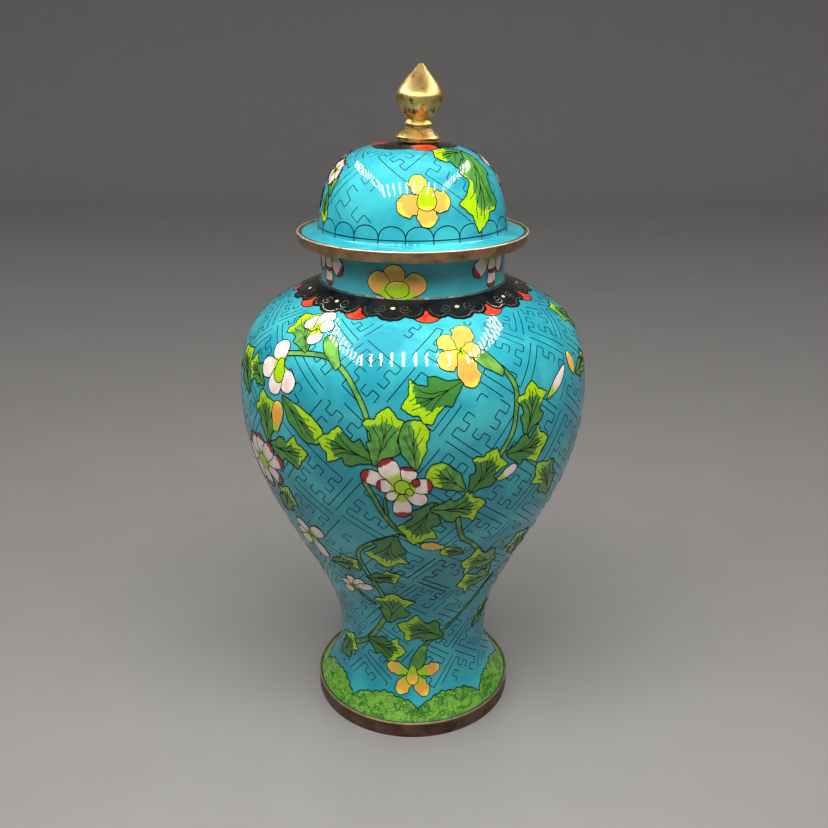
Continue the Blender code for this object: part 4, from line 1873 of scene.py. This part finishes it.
    def build(self) -> None:
        """Build the whole lid."""
        outline = self.outside()
        self.build_shell(outline)
        art = Artwork("lid", outline, self.palette)
        self.paint(art)
        art.build()
        self.build_collar(outline)
        self.build_arches(outline, art)
        pile = Pile()
        fret = KeyFret(wire=Wire(width=0.28, lift=0.035), gaps=0.12)
        fret.lay(pile, outline, self.fret_zone, art.rims())
        pile.build("lid_fret", self.palette.wire)


@dataclass
class Bands:
    """The plain metal rings: foot band, lid band, mouth rim and inner collar. Sizes in millimetres."""

    palette: Palette
    segments: int = 200
    rounding: float = 0.35
    foot_wall: float = 2.6
    lid_wall: float = 1.1
    lid_flare: float = 1.3
    mouth_wall: float = 2.3
    bead: float = 0.5
    bead_points: int = 12

    def ring(self, name: str, node: str, wall: float, metal: Metal, slot: str, flare: float = 0.0) -> None:
        """Turn one ring with rounded edges, as large as its solid, and let it stand for that.

        Args:
            name: The piece's name.
            node: The CAD node that it stands for.
            wall: The ring's thickness.
            metal: Its finish.
            slot: Passed on to the piece's build, which doesn't use it.
            flare: How much wider the ring is at its top than at its bottom.
        """
        solid = SOLIDS[node]
        outer = np.array(((solid.radius, solid.top), (solid.radius - flare, solid.bottom)))
        corners = np.vstack((outer, outer[::-1] - (wall, 0.0)))
        shell = turned(rounded(corners, self.rounding), self.segments, closed=True)
        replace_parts(shell.build(name, metal, slot), node)

    def lay_edge_highlight(self, name: str, radius: float, height: float) -> None:
        """Lay a round bead of pale metal along a band's edge: a painted highlight, the bright line of light
        on the rim.

        Args:
            name: The piece's name.
            radius: How far the bead's middle is from the axis.
            height: How high it is.
        """
        turn = np.linspace(0.0, math.tau, self.bead_points + 1)[:-1]
        bead = np.column_stack((radius + self.bead * np.cos(turn), height + self.bead * np.sin(turn)))
        turned(bead, self.segments, closed=True).build(name, self.palette.edge_highlight, "bronze_band")

    def build(self) -> None:
        """Build the four rings and the two painted highlights along their edges."""
        finish = self.palette
        self.ring("foot_band", "foot_ring", self.foot_wall, finish.dark_bronze, "bronze_band")
        self.ring("lid_band", "lid_rim", self.lid_wall, finish.bronze, "bronze_band", self.lid_flare)
        self.ring("mouth_band", "mouth_rim", self.mouth_wall, finish.brass, "brass")
        self.ring("collar_ring", "lid_collar", COLLAR_WALL, finish.copper, "copper_ring")
        lid, foot = SOLIDS["lid_rim"], SOLIDS["foot_ring"]
        # Painted highlights: pale beads along the upper edges of the lid band and the foot band.
        self.lay_edge_highlight("lid_band_edge", lid.radius - 0.6, lid.top - 0.2)
        self.lay_edge_highlight("foot_band_edge", foot.radius - 0.45, foot.top)


@dataclass
class Finial:
    """The turned brass knob: pedestal, groove, disc and pointed bud, a little off centre and leaning."""

    palette: Palette
    offset: float = 2.0
    lean: float = math.radians(2.5)
    seat: float = Lid.crown + SEAM
    segments: int = 96

    def section(self) -> np.ndarray:
        """Draw the outline from the tip down to the stem's head.

        Returns:
            Rows of radius and height above the seat, in millimetres.
        """
        bud_upper = curved_run((1.1, 28.3), (9.2, 16.9), ((0.42, 0.36), (1.0, 0.78)), 26)
        bud_lower = curved_run((9.2, 16.9), (4.5, 8.7), ((0.0, 0.42), (0.62, 0.88)), 22)
        tip = curved_run((0.0, 28.9), (1.1, 28.3), ((0.6, 0.0), (0.9, 0.4)), 5)
        disc = rounded(np.array(((4.3, 8.6), (5.7, 6.9), (5.7, 6.3), (4.3, 6.3))), 0.28)[3:]
        foot = (
            (4.8, 5.2), (5.6, 4.6), (7.2, 3.2), (8.6, 2.2), (8.9, 1.8), (8.75, 1.45), (8.15, 1.15),
            (8.0, 0.9), (8.3, 0.6), (8.3, 0.2), (8.1, 0.0),
        )
        stem = ((2.0, 0.0), (2.0, -3.1), (6.6, -3.1), (6.7, -3.3), (6.7, -4.5), (6.4, -4.65), (0.0, -4.65))
        return np.vstack((tip, bud_upper[1:], bud_lower[1:], disc, ((4.3, 5.2),), foot, stem))

    def build(self) -> None:
        """Turn the knob, lean it about its seat and move it to its place."""
        knob = turned(self.section(), self.segments, closed=False)
        cosine, sine = math.cos(self.lean), math.sin(self.lean)
        tilt = np.array(((cosine, 0.0, -sine), (0.0, 1.0, 0.0), (sine, 0.0, cosine)))
        knob.points[0] = knob.points[0] @ tilt + np.array((self.offset, 0.0, self.seat)) * MM
        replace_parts(knob.build("brass_finial", self.palette.brass, "brass"), "finial")


@dataclass(frozen=True)
class Lamp:
    """A rectangular lamp that shines down, out of the camera's sight.

    Its place and its two sides are metres, its glow is watts for each square metre, and its turn is about
    the upright. A lamp that isn't mirrored has no image on polished surfaces.
    """

    place: Place
    size: Spot
    glow: float
    turn: float = 0.0
    mirrored: bool = True

    def hang(self, name: str) -> None:
        """Hang the lamp.

        Args:
            name: The lamp's name.
        """
        light = bpy.data.lights.new(name, "AREA")
        light.shape = "RECTANGLE"
        light.size, light.size_y = self.size
        light.energy = self.glow * self.size[0] * self.size[1]
        light.color = LAMPLIGHT
        hung = bpy.data.objects.new(name, light)
        hung.location = self.place
        hung.rotation_euler = (0.0, 0.0, self.turn)
        hung.visible_camera = False
        hung.visible_glossy = self.mirrored
        bpy.context.scene.collection.objects.link(hung)


@dataclass
class Studio:
    """Floor, backdrop, lamps and camera. Sizes in metres."""

    camera_place: Place = (0.0, -0.3796, 0.2872)
    camera_pitch: float = math.radians(21.575)
    camera_yaw: float = math.radians(-0.074)
    lens: float = 40.64
    front_count: int = 9
    front_pitch: float = 0.0206
    front_shift: float = -0.8
    front_place: Spot = (-0.126, 0.333)
    side_count: int = 12
    side_out: float = 0.125
    side_run: Spot = (-0.135, 0.095)
    side_height: float = 0.367
    streak: Spot = (0.0036, 0.076)
    side_streak: Spot = (0.0027, 0.072)
    glow: float = 132.0
    slant: float = 4.0
    over: Lamp = Lamp((0.0, 0.1, 2.2), (2.4, 1.4), 2.2)
    front: Lamp = Lamp((0.0, -0.9, 1.65), (6.0, 1.0), 9.4, mirrored=False)
    floor_half_width: float = 3.0
    floor_near: float = -3.0
    bend_start: float = 1.4
    bend_radius: float = 0.5
    backdrop_top: float = 2.6
    sky: Colour = shade(150, 152, 156)
    sky_strength: float = 0.15

    def hang_lamps(self) -> None:
        """Hang a row of narrow lamps over the front, a row over each side, and two large soft boxes.

        A narrow lamp is turned in proportion to its X, so that its mirror image on the shoulder is an
        upright streak.
        """
        for k in range(self.front_count):
            x = (k - (self.front_count - 1) / 2.0 + self.front_shift) * self.front_pitch
            Lamp((x, *self.front_place), self.streak, self.glow, self.slant * x).hang(f"front_{k}")
        for k, y in enumerate(np.linspace(*self.side_run, self.side_count).tolist()):
            for way in (-1, 1):
                x = way * self.side_out
                lamp = Lamp((x, y, self.side_height), self.side_streak, self.glow, self.slant * x)
                lamp.hang(f"side_{k}_{way}")
        self.over.hang("soft_box_over")
        self.front.hang("soft_box_front")

    def lay_floor(self) -> None:
        """Lay a pale floor that curves up into a backdrop, as one sheet.

        The sheet is a flat run, a quarter circle and an upright run, carried along X.
        """
        u = np.linspace(0.0, math.pi / 2.0, 16)
        r = self.bend_radius
        bend = np.column_stack((self.bend_start + r * np.sin(u), r - r * np.cos(u)))
        back = (self.bend_start + r, self.backdrop_top)
        path = np.vstack(((self.floor_near, 0.0), (-1.0, 0.0), bend, back))
        across = np.linspace(-self.floor_half_width, self.floor_half_width, 13)
        x = np.broadcast_to(across, (len(path), len(across)))
        y = np.broadcast_to(path[:, :1], x.shape)
        z = np.broadcast_to(path[:, 1:], x.shape)
        points = np.stack((x, y, z), axis=-1).reshape(-1, 3)
        mesh = bpy.data.meshes.new("floor")
        mesh.from_pydata(points.tolist(), [], grid_faces(len(path), len(across), wrap=False).tolist())
        mesh.shade_smooth()
        bench = Bench("pale_floor")
        bench.set("Base Color", bench.mix(bench.noise(40.0), shade(152, 150, 148), shade(158, 156, 154)))
        bench.set("Roughness", 0.7)
        mesh.materials.append(bench.material)
        floor = bpy.data.objects.new("floor", mesh)
        bpy.context.scene.collection.objects.link(floor)

    def set_camera(self) -> None:
        """Stand the camera where the photograph was taken from."""
        camera = bpy.data.cameras.new("camera")
        camera.lens = self.lens
        camera.sensor_width = 36.0
        stand = bpy.data.objects.new("camera", camera)
        stand.location = self.camera_place
        stand.rotation_euler = (math.pi / 2.0 - self.camera_pitch, 0.0, self.camera_yaw)
        bpy.context.scene.collection.objects.link(stand)
        bpy.context.scene.camera = stand

    def build(self) -> None:
        """Set up the studio."""
        world = bpy.data.worlds.new("studio")
        world.use_nodes = True
        background = world.node_tree.nodes["Background"]
        background.inputs["Color"].default_value = self.sky
        background.inputs["Strength"].default_value = self.sky_strength
        bpy.context.scene.world = world
        bpy.context.scene.view_settings.view_transform = "Standard"
        self.lay_floor()
        self.hang_lamps()
        self.set_camera()


def main() -> None:
    """Build the jar and its studio."""
    logging.basicConfig(level=logging.INFO, format="%(name)s: %(message)s")
    palette = Palette()
    Studio().build()
    Vessel(palette).build()
    Lid(palette).build()
    Bands(palette).build()
    Finial(palette).build()
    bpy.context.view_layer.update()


if __name__ == "__main__":
    main()
